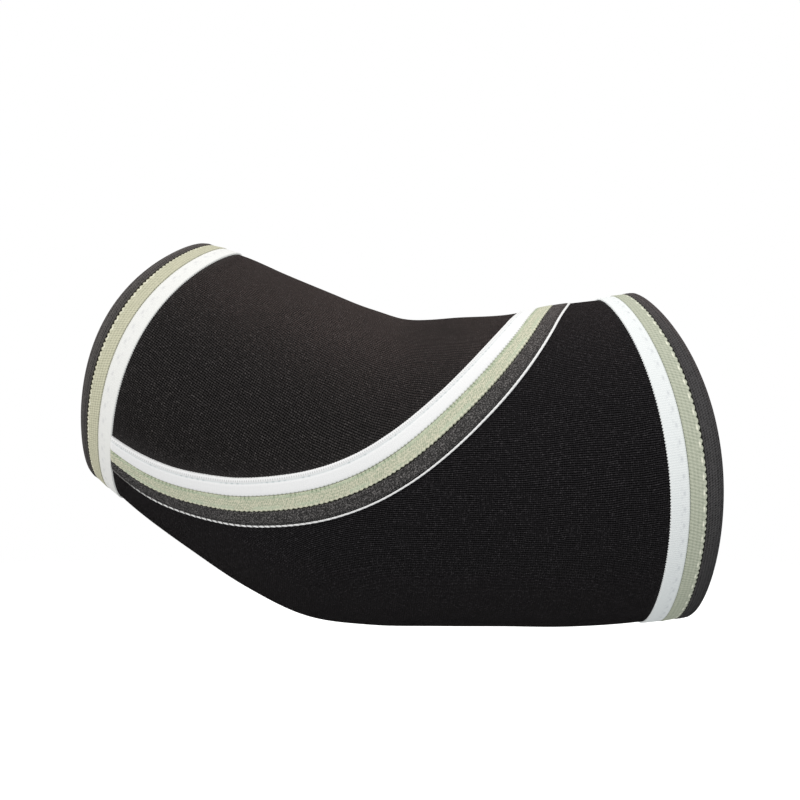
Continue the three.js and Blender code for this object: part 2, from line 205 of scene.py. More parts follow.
@dataclass(frozen=True)
class Skin:
    """The sleeve's outer face, bent at the elbow, in millimetres and degrees.

    Attributes:
        elbow_width: The elbow's size in the plane of the bend.
        elbow_depth: The elbow's size square to that plane.
        bow_to_crook: How much more the hems' sides bow towards the crook, as a share.
        dip: Depth of the dip in the crook.
        dip_length: How far the dip reaches along the sleeve.
        dip_at: The dip's place along the sleeve.
        narrowing: How much narrower the point of the elbow is, as a share.
        wall: Thickness of the neoprene.
        seam_tip: Place of the U's tip along the sleeve.
        seam_start: Turn from the crook to the seam at the forearm hem.
        panel_edge: How far in from a hem the neoprene ends.
        pace_at: How far from a hem the pace of lengths near it is read, as a share of the sleeve.
        seam_steps: Steps in which the seam's length is added up.
    """

    elbow_width: float = 101.6
    elbow_depth: float = 88.0
    bow_to_crook: float = 0.29
    dip: float = 0.4
    dip_length: float = 6.5
    dip_at: float = 0.473
    narrowing: float = 0.06
    wall: float = 3.0
    seam_tip: float = 0.792
    seam_start: float = 131.0
    panel_edge: float = PANEL_EDGE
    pace_at: float = 0.04
    seam_steps: int = 4000

    def point(self, place: Place) -> Array:
        """Points of the outer face.

        A section is an oval in a leaning plane. Its centre, width and depth follow smooth curves along the
        sleeve. The crook has a small dip, a bell curve along the sleeve that fades round it with the fourth
        power of the height. The point is narrower, and the hems' sides bow outwards.

        Args:
            place: Where on the skin.

        Returns:
            The points, with x, y and z last.
        """
        along, turn = np.broadcast_arrays(place.along, place.turn)
        centre_x = section_curve([limb.reach * reach for limb, reach, _, _ in SECTIONS], along)
        centre_z = section_curve([limb.rise * rise for limb, _, rise, _ in SECTIONS], along)
        widths = [lerp(limb.width, self.elbow_width, way) / 2 for limb, _, _, way in SECTIONS]
        depths = [lerp(limb.depth, self.elbow_depth, way) / 2 for limb, _, _, way in SECTIONS]
        lean = np.radians(lerp(FOREARM.lean, UPPER_ARM.lean, along))
        up, side = np.sin(turn), np.cos(turn)
        crook_length = math.hypot(FOREARM.reach, FOREARM.rise) + UPPER_ARM.reach
        dip_place = (along - self.dip_at) * crook_length / self.dip_length
        dip = self.dip * np.exp(-(dip_place**2)) * np.maximum(up, 0) ** 4
        height = section_curve(widths, along) * up - dip
        depth = section_curve(depths, along) * side * (1 - self.narrowing * np.maximum(-up, 0) ** 2)
        to_forearm, to_upper_arm = np.maximum(1 - 2 * along, 0), np.maximum(2 * along - 1, 0)
        bow = FOREARM.bow * to_forearm**1.5 + UPPER_ARM.bow * to_upper_arm**1.5
        bow = bow * side**2 * (1 + self.bow_to_crook * up)
        x = centre_x - np.sin(lean) * height + np.cos(lean) * bow
        z = centre_z + np.cos(lean) * height + np.sin(lean) * bow
        return np.stack([x, -depth, z], axis=-1)

    def directions(self, place: Place) -> tuple[Array, Array, Array]:
        """The face's directions, from differences over small steps.

        Args:
            place: Where on the skin.

        Returns:
            The steps along and round the face per unit of each parameter, and the outward normal.
        """
        before = np.maximum(place.along - STEP, 0)
        after = np.minimum(place.along + STEP, 1)
        run = self.point(Place(after, place.turn)) - self.point(Place(before, place.turn))
        lengthways = run / (after - before)[..., None]
        ahead = self.point(Place(place.along, place.turn + STEP))
        behind = self.point(Place(place.along, place.turn - STEP))
        around = (ahead - behind) / (2 * STEP)
        return lengthways, around, unit(np.cross(lengthways, around))

    def off(self, place: Place, height: Amount) -> Array:
        """Points off the face, along its normal.

        Args:
            place: Where on the skin.
            height: How far off the face, in millimetres, negative below it.

        Returns:
            The points, with x, y and z last.
        """
        along, turn, height = np.broadcast_arrays(place.along, place.turn, np.asarray(height, float))
        spot = Place(along, turn)
        return self.point(spot) + self.directions(spot)[2] * height[..., None]

    def in_from_hem(self, limb: Limb, turn: Array, distance: Amount) -> Place:
        """Places at a distance in from a hem, with the cuff drawn together towards the crook.

        Args:
            limb: The end whose hem is meant.
            turn: Where round the sleeve.
            distance: How far in from the hem, in millimetres.

        Returns:
            The places.
        """
        turn, distance = np.broadcast_arrays(turn, np.asarray(distance, float))
        near_hem = np.full(turn.shape, abs(limb.end - self.pace_at))
        pace = np.linalg.norm(self.directions(Place(near_hem, turn))[0], axis=-1)
        squeeze = 1 - limb.squeeze * np.maximum(np.sin(turn), 0) ** 2
        return Place(np.abs(limb.end - distance * squeeze / pace), turn)

    def seam(self, share: Array) -> Place:
        """The seam's line, the same on both sides of the crook.

        Args:
            share: 0 at the near forearm edge, 1 at the tip of the U and 2 at the far edge.

        Returns:
            The places.
        """
        near = 1 - np.abs(1 - share)
        along = smooth_through(SEAM_ALONG, near, -SEAM_ALONG[1], SEAM_ALONG[-2])
        turned = smooth_through(SEAM_TURN, near, 2 - SEAM_TURN[1], -SEAM_TURN[-2])
        turn = CROOK - math.radians(self.seam_start) * turned
        edge = self.in_from_hem(FOREARM, turn, self.panel_edge).along
        return Place(lerp(edge, self.seam_tip, along), np.where(share > 1, math.pi - turn, turn))

    def beside_seam(self, share: Array, across: Amount) -> Place:
        """Places beside the seam: a step across the seam's line, square to it in the skin.

        The step is split into its parts along and round the sleeve by two equations, one for the step's dot
        product with each of those directions.

        Args:
            share: Where along the seam, from 0 to 2.
            across: The distance from the seam in millimetres, positive towards the crook panel.

        Returns:
            The places.
        """
        share, across = np.broadcast_arrays(share, np.asarray(across, float))
        near = 1 - np.abs(1 - share)
        here, before, after = self.seam(near), self.seam(np.maximum(near - STEP, 0)), self.seam(near + STEP)
        lengthways, around, normal = self.directions(here)
        run = lengthways * (after.along - before.along)[..., None]
        run = run + around * (after.turn - before.turn)[..., None]
        aside = np.cross(normal, unit(run)) * across[..., None]
        ll, lr, rr = dot(lengthways, lengthways), dot(lengthways, around), dot(around, around)
        al, ar = dot(aside, lengthways), dot(aside, around)
        det = ll * rr - lr * lr
        along = here.along + (al * rr - ar * lr) / det
        turn = here.turn + (ar * ll - al * lr) / det
        return Place(along, np.where(share > 1, math.pi - turn, turn))

    def seam_length(self, share: Array) -> Array:
        """The length along the seam, added up in small straight steps.

        Args:
            share: Where along the seam, from 0 to 2.

        Returns:
            The length from the tip of the U in millimetres, negative on the near side.
        """
        fine = np.linspace(0, 2, self.seam_steps + 1)
        points = self.point(self.seam(fine))
        run = np.concatenate([[0.0], np.cumsum(np.linalg.norm(np.diff(points, axis=0), axis=1))])
        return np.interp(share, fine, run - run[self.seam_steps // 2])


# Meshes from grids of points.


def triangle_wave(x: Array) -> Array:
    """Goes from 0 up to 1 and back to 0 in each unit of x."""
    return 1 - np.abs(2 * (x - np.floor(x)) - 1)


def crown(x: Array, power: float) -> Array:
    """The height of a band with rounded edges: 1 in the middle and 0 where x is -1 or 1 (a superellipse)."""
    return np.maximum(1 - np.abs(x) ** power, 0) ** (1 / power)


def across_shares(count: int) -> Array:
    """Steps from -1 to 1, closer together towards both ends (the cosine of even steps)."""
    return -np.cos(np.linspace(0, math.pi, count))


@dataclass
class Loft:
    """A closed solid through loops of points, with a cloth grid over it.

    Attributes:
        loops: Points in millimetres, by station, place round the loop, and x, y, z.
        cloth: Cloth coordinates in millimetres, by station, place round the loop with one more that closes
            it, and u, v.
        closed: Whether the last station is the first again.
    """

    loops: Array
    cloth: Array
    closed: bool = False

    def corners(self) -> tuple[Array, Array]:
        """The four corners of every face: a grid of faces, with a ladder of them over each open end.

        Returns:
            The corners as point numbers, and as numbers in the cloth grid.
        """
        stations, size = self.loops.shape[:2]
        rows = stations - 1 if self.closed else stations
        i, j = np.meshgrid(np.arange(stations - 1), np.arange(size), indexing="ij")
        i, j = i.ravel(), j.ravel()
        step_i, step_j = (i, i, i + 1, i + 1), (j, j + 1, j + 1, j)
        points = np.stack([(a % rows) * size + b % size for a, b in zip(step_i, step_j)], axis=1)
        grid = np.stack([a * (size + 1) + b for a, b in zip(step_i, step_j)], axis=1)
        if self.closed:
            return points, grid
        rung = np.arange(size // 2 - 1)
        ladder = np.stack([rung, size - 1 - rung, size - 2 - rung, rung + 1], axis=1)
        far = ladder[:, ::-1]
        last = stations - 1
        points = np.concatenate([points, ladder, far + last * size])
        grid = np.concatenate([grid, ladder, far + last * (size + 1)])
        return points, grid

    def mesh(self, name: str) -> bpy.types.Mesh:
        """Makes the mesh, with its faces outwards and the cloth grid as its UV map.

        Faces point outwards where the volume inside them, the sum of their corners' triple products, is
        above 0.

        Args:
            name: The mesh's name.

        Returns:
            The mesh, in metres.
        """
        points, grid = self.corners()
        rows = self.loops[:-1] if self.closed else self.loops
        co = rows.reshape(-1, 3) * MM
        a, b, c, d = (co[points[:, k]] for k in range(4))
        volume = (np.cross(a, b) * c).sum() + (np.cross(a, c) * d).sum()
        if volume < 0:
            points, grid = points[:, ::-1], grid[:, ::-1]
        made = bpy.data.meshes.new(name)
        made.vertices.add(len(co))
        made.vertices.foreach_set("co", co.astype(np.float32).ravel())
        made.loops.add(points.size)
        made.loops.foreach_set("vertex_index", points.astype(np.int32).ravel())
        made.polygons.add(len(points))
        made.polygons.foreach_set("loop_start", np.arange(0, points.size, 4, dtype=np.int32))
        made.update(calc_edges=True)
        uv = made.uv_layers.new(name="Cloth")
        uv.data.foreach_set("uv", (self.cloth.reshape(-1, 2)[grid.ravel()] * MM).astype(np.float32).ravel())
        made.validate()
        return made


def cloth_grid(along: Array, across: Array) -> Array:
    """Cloth coordinates from lengths along a piece and across it."""
    return np.stack(np.broadcast_arrays(along, across), axis=-1)


def slab(top: Array, bottom: Array, cloth: Array, closed: bool = False) -> Loft:
    """A solid between two sheets of points: each loop goes across the top sheet and back along the bottom.

    Args:
        top: Points of the outer sheet, by station and place across.
        bottom: Points of the inner sheet, in the same order.
        cloth: Cloth coordinates of both sheets.
        closed: Whether the last station is the first again.

    Returns:
        The solid.
    """
    loops = np.concatenate([top, bottom[:, ::-1]], axis=1)
    return Loft(loops, np.concatenate([cloth, cloth[:, ::-1], cloth[:, :1]], axis=1), closed)


# Finishes.


@dataclass
class Signal:
    """A shader node's output, used in arithmetic: each operation adds its Math node."""

    graph: "Graph"
    socket: Optional[bpy.types.NodeSocket]

    def math(self, operation: str, *others: "Value") -> "Signal":
        """Adds a Math node on this value and others."""
        return self.graph.node("ShaderNodeMath", {"operation": operation}, dict(enumerate((self, *others))))

    def __add__(self, other: "Value") -> "Signal":
        """Sum."""
        return self.math("ADD", other)

    def __sub__(self, other: "Value") -> "Signal":
        """Difference."""
        return self.math("SUBTRACT", other)

    def __rsub__(self, other: Number) -> "Signal":
        """Difference from a number."""
        return self.graph.node("ShaderNodeMath", {"operation": "SUBTRACT"}, {0: other, 1: self})

    def __mul__(self, other: "Value") -> "Signal":
        """Product."""
        return self.math("MULTIPLY", other)

    def __truediv__(self, other: "Value") -> "Signal":
        """Quotient."""
        return self.math("DIVIDE", other)

    __radd__ = __add__
    __rmul__ = __mul__

    def wave(self) -> "Signal":
        """A smooth wave from 0 to 1 and back in each unit, lowest at whole numbers."""
        return 0.5 - 0.5 * (self * (2 * math.pi)).math("COSINE")

    def hill(self, centre: "Value", width: "Value") -> "Signal":
        """A smooth hill of height 1 about a centre: e to the minus square of the distance over the width."""
        away = (self - centre) / width
        return (away * away * -1.0).math("EXPONENT")

    def fraction(self) -> "Signal":
        """What is past the whole number below."""
        return self.math("FRACT")

    def size(self) -> "Signal":
        """The value without its sign."""
        return self.math("ABSOLUTE")

    def ramp(self, low: "Value", high: "Value") -> "Signal":
        """Rises smoothly from 0 at low to 1 at high."""
        sockets = {"Value": self, "From Min": low, "From Max": high}
        return self.graph.node("ShaderNodeMapRange", {"interpolation_type": "SMOOTHSTEP"}, sockets)

    def output(self, key: Union[int, str]) -> "Signal":
        """Another output of the same node."""
        return Signal(self.graph, self.socket.node.outputs[key])


Value = Union[Signal, int, float]
Colour = tuple[float, float, float]
Paint = Union[Signal, Colour]
Range = tuple[float, float]


class Graph:
    """The nodes of one material or of the world."""

    def __init__(self, tree: bpy.types.NodeTree) -> None:
        """Empties a node tree and starts from it."""
        self.tree = tree
        self.tree.nodes.clear()

    def node(
        self, kind: str, settings: Optional[dict] = None, inputs: Optional[dict] = None,
        output: Union[int, str] = 0,
    ) -> Signal:
        """Adds a node.

        Args:
            kind: The node's type.
            settings: Its properties, which are set first.
            inputs: Values or links of its sockets, by name or number.
            output: Which of its outputs is wanted.

        Returns:
            That output.
        """
        made = self.tree.nodes.new(kind)
        for key, value in (settings or {}).items():
            setattr(made, key, value)
        for key, value in (inputs or {}).items():
            if isinstance(value, Signal):
                self.tree.links.new(value.socket, made.inputs[key])
            elif isinstance(value, tuple) and len(value) == 3 and made.inputs[key].type == "RGBA":
                made.inputs[key].default_value = (*value, 1.0)
            else:
                made.inputs[key].default_value = value
        return Signal(self, made.outputs[output] if len(made.outputs) else None)

    def blend(self, share: Value, a: Paint, b: Paint) -> Signal:
        """Mixes two colours."""
        return self.node("ShaderNodeMix", {"data_type": "RGBA"}, {0: share, 6: a, 7: b}, 2)

    def cloth(self) -> tuple[Signal, Signal]:
        """Reads the cloth grid.

        Returns:
            Its two coordinates, in millimetres along and across.
        """
        grid = self.node("ShaderNodeUVMap", {"uv_map": "Cloth"})
        split = self.node("ShaderNodeSeparateXYZ", None, {0: grid})
        return split * (1 / MM), split.output("Y") * (1 / MM)

    def noise(self, size: float, detail: float = 2.0, rough: float = 0.5) -> Signal:
        """Even noise from 0 to 1 through the object's own space.

        Args:
            size: Size of its blobs, in millimetres.
            detail: How many times smaller blobs are laid over them.
            rough: How strong the smaller ones are.

        Returns:
            The noise.
        """
        spot = self.node("ShaderNodeTexCoord", None, None, "Object")
        sockets = {"Vector": spot, "Scale": 1000.0 / size, "Detail": detail, "Roughness": rough}
        return self.node("ShaderNodeTexNoise", {"noise_dimensions": "3D"}, sockets)

    def relief(self, height: Signal, depth: float) -> Signal:
        """A bump normal from a height from 0 to 1, of a depth in millimetres."""
        return self.node("ShaderNodeBump", None, {"Strength": 1.0, "Distance": depth * MM, "Height": height})

    def surface(self, colour: Paint, roughness: Value, normal: Signal, **fixed: Union[float, tuple]) -> None:
        """Ends the nodes with a cloth surface.

        Args:
            colour: Base colour.
            roughness: Roughness.
            normal: The bump normal.
            **fixed: Sockets that stay the same all over, with underscores for spaces.
        """
        sockets = {"Base Color": colour, "Roughness": roughness, "Normal": normal}
        sockets.update({name.replace("_", " "): value for name, value in fixed.items()})
        shader = self.node("ShaderNodeBsdfPrincipled", None, sockets)
        self.node("ShaderNodeOutputMaterial", None, {"Surface": shader})


@dataclass(frozen=True)
class Finish:
    """A finish, which makes one material."""

    name: str

    def paint(self, g: Graph) -> None:
        """Adds the finish's nodes to a graph."""
        raise NotImplementedError

    def build(self) -> bpy.types.Material:
        """Makes the material.

        Returns:
            The material.
        """
        material = bpy.data.materials.new(self.name)
        material.use_nodes = True
        self.paint(Graph(material.node_tree))
        return material


@dataclass(frozen=True)
class KnitFinish(Finish):
    """The black jersey that faces the neoprene: fine columns of V-shaped loops in uneven, flecked yarn.

    Attributes:
        yarn: Colour of the yarn.
        fleck: Colour of its flecks.
        gap: Colour between the loops.
        pitch_along: Length of a loop, in millimetres.
        pitch_round: Width of a column.
        leg_share: The legs' share of the height. The columns' roundness has the rest.
        leg_lean: How far a leg leans over half a column, in loops.
        wander: How far the columns wander, in columns.
        wander_size: Over what length they do so.
        grain: Size of the fuzz.
        fuzz: Height of the fuzz.
        yarn_from_to: Heights, with fuzz, between which the gap becomes yarn.
        fleck_from_to: Fuzz between which flecks come in.
        fleck_height: Heights between which they come in.
        fleck_strength: How much of the colour they take.
        depth: Depth of the relief, in millimetres.
        roughness: Roughness.
        gloss: Specular level.
        sheen: Weight of the sheen.
        sheen_roughness: Roughness of the sheen.
        sheen_tint: Colour of the sheen.
    """

    yarn: Colour
    fleck: Colour
    gap: Colour = (0.0005, 0.0005, 0.0006)
    pitch_along: float = 0.64
    pitch_round: float = 0.60
    leg_share: float = 0.2
    leg_lean: float = 0.42
    wander: float = 1.6
    wander_size: float = 7.0
    grain: float = 0.5
    fuzz: float = 0.4
    yarn_from_to: Range = (0.7, 1.75)
    fleck_from_to: Range = (0.54, 0.68)
    fleck_height: Range = (0.4, 0.9)
    fleck_strength: float = 0.6
    depth: float = 0.22
    roughness: float = 0.6
    gloss: float = 0.5
    sheen: float = 0.02
    sheen_roughness: float = 0.45
    sheen_tint: Colour = (1.0, 0.84, 0.80)

    def paint(self, g: Graph) -> None:
        """Adds the knit.

        Across a column the loops are round, and their two legs lean into a V. The height is the column's
        roundness plus a wave along it that is late by the distance from the column's middle.

        Args:
            g: The graph to add to.
        """
        along, round_ = g.cloth()
        wobble = (g.noise(self.wander_size, 1.0) - 0.5) * self.wander
        column_place = (round_ / self.pitch_round + wobble).fraction()
        from_middle = (column_place * 2.0 - 1.0).size()
        rounded = 1.0 - from_middle * from_middle
        legs = (along / self.pitch_along + from_middle * self.leg_lean + wobble).wave()
        height = rounded * (1.0 - self.leg_share) + legs * self.leg_share
        fuzz = g.noise(self.grain, 2.0, 0.7)
        colour = g.blend((height * 1.3 + fuzz * 0.8).ramp(*self.yarn_from_to), self.gap, self.yarn)
        flecks = fuzz.ramp(*self.fleck_from_to) * height.ramp(*self.fleck_height) * self.fleck_strength
        colour = g.blend(flecks, colour, self.fleck)
        g.surface(
            colour, self.roughness, g.relief(height + fuzz * self.fuzz, self.depth),
            Specular_IOR_Level=self.gloss, Sheen_Weight=self.sheen, Sheen_Roughness=self.sheen_roughness,
            Sheen_Tint=self.sheen_tint,
        )


@dataclass(frozen=True)
class DotRow:
    """A row of needle marks or flecks along a band, in millimetres.

    Attributes:
        at: Distance from the band's near edge.
        width: Half the row's width.
        pitch: From one mark to the next, or 0 for a line.
        tone: Colour of the marks.
        strength: How much of the colour they take.
        run: Size of the patches in which they show, or 0 where they show everywhere.
        sink: How deep they are, as a share of the relief.
        sharp: How short they are: the power of their wave.
    """

    at: float
    width: float
    pitch: float
    tone: Colour
    strength: float
    run: float = 0.0
    sink: float = 0.0
    sharp: float = 2.0


@dataclass(frozen=True)
class WebFinish(Finish):
    """A stripe of elastic webbing: ribs across it, columns along it, mottled yarn and rows of marks.

    Attributes:
        base: Colour of the yarn.
        shade: Colour of the low places.
        light: Colour of the mottling.
        rib_pitch: From one rib to the next, in millimetres.
        rib_share: The ribs' share of the height.
        column_pitch: From one column to the next.
        column_share: The columns' share of the height. The fibres have the rest.
        slant: How far the ribs lean for each millimetre across.
        wander: How far the ribs wander, in ribs.
        wander_size: Over what length they do so.
        fibre_size: Size of the fibres.
        fibre_rough: How rough the fibres and the mottling are.
        depth: Depth of the relief.
        shade_share: How dark the low places are.
        mottle_size: Size of the mottling.
        mottle: How strong it is.
        mottle_from: Noise at which it starts.
        mottle_to: Noise at which it is full.
        patch_from_to: Noise between which a row's patches come in.
        rows: Rows of marks.
        roughness: Roughness.
        gloss: Specular level.
    """

    base: Colour
    shade: Colour
    light: Colour
    rib_pitch: float = 0.7
    rib_share: float = 0.5
    column_pitch: float = 1.05
    column_share: float = 0.3
    slant: float = 0.0
    wander: float = 0.35
    wander_size: float = 3.0
    fibre_size: float = 0.25
    fibre_rough: float = 0.6
    depth: float = 0.10
    shade_share: float = 0.5
    mottle_size: float = 0.7
    mottle: float = 0.5
    mottle_from: float = 0.36
    mottle_to: float = 0.66
    patch_from_to: Range = (0.44, 0.56)
    rows: tuple[DotRow, ...] = ()
    roughness: float = 0.82
    gloss: float = 0.2

    def paint(self, g: Graph) -> None:
        """Adds the webbing.

        The height is a wave along the band, leaning by the slant, plus a wave across it and fibre noise. The
        colour darkens in the low places and lightens in blotches of mottling, and each row of marks is a hill
        across the band times a wave along it.

        Args:
            g: The graph to add to.
        """
        along, across = g.cloth()
        fibre = g.noise(self.fibre_size, 2.0, self.fibre_rough)
        wobble = (g.noise(self.wander_size, 1.0) - 0.5) * self.wander
        ribs = ((along + across * self.slant) / self.rib_pitch + wobble).wave()
        columns = (across / self.column_pitch).wave()
        fibre_share = 1.0 - self.rib_share - self.column_share
        height = ribs * self.rib_share + columns * self.column_share + fibre * fibre_share
        mottling = g.noise(self.mottle_size, 2.0, self.fibre_rough).ramp(self.mottle_from, self.mottle_to)
        colour = g.blend((1.0 - height) * self.shade_share, self.base, self.shade)
        colour = g.blend(mottling * self.mottle, colour, self.light)
        for row in self.rows:
            mark = across.hill(row.at, row.width)
            if row.pitch:
                mark = mark * (along / row.pitch).wave().math("POWER", row.sharp)
            if row.run:
                mark = mark * g.noise(row.run, 0.0).ramp(*self.patch_from_to)
            colour = g.blend(mark * row.strength, colour, row.tone)
            if row.sink:
                height = height - mark * row.sink
        g.surface(colour, self.roughness, g.relief(height, self.depth), Specular_IOR_Level=self.gloss)


@dataclass(frozen=True)
class CordFinish(Finish):
    """The white thread along the tape's edge: two plies twisted together, with painted shade between them,
    darker grey towards its ends.

    Attributes:
        base: Colour of the thread.
        groove: Colour between the plies, a painted shade.
        dark_end: Colour of the dark stretch at each end.
        pitch: From one groove to the next along the thread, in millimetres.
        girth: Length round the thread.
        twist_from_to: Lengths from the tip of the U between which the twist comes to show fully.
        groove_least: How much of the groove shows at the tip.
        groove_more: How much more of it shows at the ends.
        dark_end_from_to: Lengths from the tip between which the thread turns dark grey.
        dark_end_share: How grey it gets.
        dark_end_patch: Size of the patches in which it starts.
        dark_end_uneven: How far along the thread they differ.
        depth: Depth of the relief.
    """

    base: Colour = (0.80, 0.80, 0.80)
    groove: Colour = (0.16, 0.15, 0.15)
    dark_end: Colour = (0.09, 0.085, 0.08)
    pitch: float = 1.75
    girth: float = 2.2
    twist_from_to: Range = (100.0, 150.0)
    groove_least: float = 0.12
    groove_more: float = 0.8
    dark_end_from_to: Range = (165.0, 175.0)
    dark_end_share: float = 0.85
    dark_end_patch: float = 6.0
    dark_end_uneven: float = 14.0
    depth: float = 0.08

    def paint(self, g: Graph) -> None:
        """Adds the thread.

        The groove between the plies is where the place along over the pitch, plus the place round over the
        girth, is a whole number; its dark colour is painted shade. It shows more towards the ends of the
        thread, and the last stretch turns dark grey.

        Args:
            g: The graph to add to.
        """
        along, around = g.cloth()
        twist = (along / self.pitch + around / self.girth).wave()
        from_tip = along.size()
        show = from_tip.ramp(*self.twist_from_to) * self.groove_more + self.groove_least
        # The groove between the plies is painted dark: painted shade.
        colour = g.blend((1.0 - twist.ramp(0.0, 0.45)) * show, self.base, self.groove)
        # The last stretch at each end turns dark grey, in uneven patches.
        uneven = (g.noise(self.dark_end_patch, 1.0) - 0.5) * self.dark_end_uneven
        dark_end = (from_tip + uneven).ramp(*self.dark_end_from_to)
        colour = g.blend(dark_end * self.dark_end_share, colour, self.dark_end)
        g.surface(colour, 0.7, g.relief(twist + g.noise(0.2) * 0.3, self.depth), Specular_IOR_Level=0.25)


@dataclass(frozen=True)
class FloorFinish(Finish):
    """A plain pale floor that fades out at its rim."""

    name: str = "pale_floor"
    tone: Colour = (0.92, 0.92, 0.92)
    glow: float = 0.42
    radius: float = 1.1
    fade_from: float = 0.45
    fade_to: float = 0.98

    def paint(self, g: Graph) -> None:
        """Adds the floor, more and more see-through between two shares of its radius.

        Args:
            g: The graph to add to.
        """
        spot = g.node("ShaderNodeTexCoord", None, None, "Object")
        flat = g.node("ShaderNodeVectorMath", {"operation": "MULTIPLY"}, {0: spot, 1: (1.0, 1.0, 0.0)})
        away = g.node("ShaderNodeVectorMath", {"operation": "LENGTH"}, {0: flat}, "Value")
        shown = 1.0 - away.ramp(self.radius * self.fade_from, self.radius * self.fade_to)
        sockets = {
            "Base Color": self.tone, "Roughness": 0.9, "Specular IOR Level": 0.0, "Alpha": shown,
            "Emission Color": self.tone, "Emission Strength": self.glow,
        }
        shader = g.node("ShaderNodeBsdfPrincipled", None, sockets)
        g.node("ShaderNodeOutputMaterial", None, {"Surface": shader})


# Sub-assemblies.


@dataclass
class Piece:
    """One visible piece: its mesh, its finish, the CAD node that it stands for and its slot."""

    name: str
    loft: Loft
    finish: Finish
    node: str
    slot: str

    def place(self) -> bpy.types.Object:
        """Makes the object, dresses it, and ties it to the part.

        Returns:
            The object.
        """
        made = bpy.data.objects.new(self.name, self.loft.mesh(self.name))
        bpy.context.scene.collection.objects.link(made)
        made.data.materials.append(self.finish.build())
        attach(made, "root")
        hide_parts(self.node)
        LOG.info("%s: %d faces, stands for %s", self.name, len(made.data.polygons), self.node)
        return made


@dataclass
class Panels:
    """The two neoprene panels: the tongue over the crook and the rest of the tube round the elbow.

    Attributes:
        skin: The sleeve's outer face.
        side_steps: Faces along the tongue's sides.
        tip_steps: Faces round its tip.
        seam_steps: Faces of the tube along half the seam.
        point_steps: Faces from the seam's start to the point side.
        rows: Faces from the seam to the upper-arm edge.
        girth: Girth round which the cloth is measured, in millimetres.
        length: Length along which it is measured.
        crook_bias: How far the tongue's cloth is turned, in degrees.
    """

    skin: Skin
    side_steps: int = 84
    tip_steps: int = 150
    seam_steps: int = 132
    point_steps: int = 33
    rows: int = 72
    girth: float = 300.0
    length: float = 195.0
    crook_bias: float = -7.0

    def wall(self, places: Place, bias: float = 0.0, closed: bool = False) -> Loft:
        """The neoprene over a grid of places: its face is the skin, and its back is one wall below.

        Cloth coordinates are how far along the sleeve, and the turn as a length round a girth of whole loops.

        Args:
            places: The grid, by station and place across.
            bias: How far the cloth is turned before it is cut, in degrees.
            closed: Whether the last station is the first again.

        Returns:
            The wall.
        """
        along, around = places.along * self.length, places.turn * self.girth / (2 * math.pi)
        c, s = math.cos(math.radians(bias)), math.sin(math.radians(bias))
        cloth = cloth_grid(along * c + around * s, around * c - along * s)
        return slab(self.skin.off(places, 0.0), self.skin.off(places, -self.skin.wall), cloth, closed)

    def crook_panel(self) -> Loft:
        """The tongue: a Coons patch.

        Each point is the blend between the forearm edge and the seam's tip, plus the blend between the seam's
        two sides, less the blend of the four corners, all in the skin's own parameters.

        Returns:
            The panel's wall.
        """
        skin = self.skin
        side = skin.beside_seam(np.linspace(0, 0.5, self.side_steps + 1), KNIT_GAP / 2)
        tip = skin.beside_seam(np.linspace(0.5, 1.5, self.tip_steps + 1), KNIT_GAP / 2)
        a = np.linspace(0, 1, self.tip_steps + 1)[None, :]
        b = np.linspace(0, 1, self.side_steps + 1)[:, None]
        hem = skin.in_from_hem(FOREARM, lerp(side.turn[0], math.pi - side.turn[0], a[0]), skin.panel_edge)

        def patch(low: Array, high: Array, left: Array, right: Array) -> Array:
            """The Coons patch of four edges."""
            corners = lerp(lerp(low[0], low[-1], a), lerp(high[0], high[-1], a), b)
            return lerp(low[None, :], high[None, :], b) + lerp(left[:, None], right[:, None], a) - corners

        along = patch(hem.along, tip.along, side.along, side.along)
        turn = patch(hem.turn, tip.turn, side.turn, math.pi - side.turn)
        return self.wall(Place(along, turn), bias=self.crook_bias)

    def elbow_panel(self) -> Loft:
        """The tube: lines from the seam and the point side of the forearm edge to the upper-arm edge.

        Returns:
            The panel's wall, as a closed ring of lines.
        """
        skin = self.skin
        steps = self.seam_steps + self.point_steps
        seam = skin.beside_seam(np.linspace(1, 0, self.seam_steps + 1), -KNIT_GAP / 2)
        hem_turn = np.linspace(seam.turn[-1], -CROOK, self.point_steps + 1)[1:]
        hem = skin.in_from_hem(FOREARM, hem_turn, skin.panel_edge)
        to = skin.in_from_hem(UPPER_ARM, np.linspace(CROOK, -CROOK, steps + 1), skin.panel_edge)
        b = np.linspace(0, 1, self.rows + 1)[None, :]
        along = lerp(np.concatenate([seam.along, hem.along])[:, None], to.along[:, None], b)
        turn = lerp(np.concatenate([seam.turn, hem.turn])[:, None], to.turn[:, None], b)
        along = np.concatenate([along, along[-2::-1]])
        turn = np.concatenate([turn, -math.pi - turn[-2::-1]])
        return self.wall(Place(along, turn), closed=True)

    def build(self) -> list[bpy.types.Object]:
        """Makes both panels.

        Returns:
            The crook panel and the elbow panel.
        """
        # Both panels are the same black jersey. The crook panel's yarn and flecks are painted lighter and
        # warmer, as painted light from the upper left. The elbow panel's are painted darker and cooler, as
        # painted shade.
        crook = KnitFinish(
            "crook_jersey_painted_light", (0.0225, 0.0186, 0.0186), (0.110, 0.096, 0.093), pitch_along=0.72,
            pitch_round=0.74, leg_share=0.32,
        )
        elbow = KnitFinish("elbow_jersey_painted_shade", (0.0190, 0.0176, 0.0195), (0.072, 0.067, 0.072), gloss=0.05)
        return [
            Piece("crook_panel_jersey", self.crook_panel(), crook, "crook_panel", "knit_crook").place(),
            Piece("elbow_panel_jersey", self.elbow_panel(), elbow, "elbow_panel", "knit_elbow").place(),
        ]


class Edge(Enum):
    """How a band's edge is finished."""

    PLAIN = 0
    SCALLOPED = 1
    TOOTHED = 2


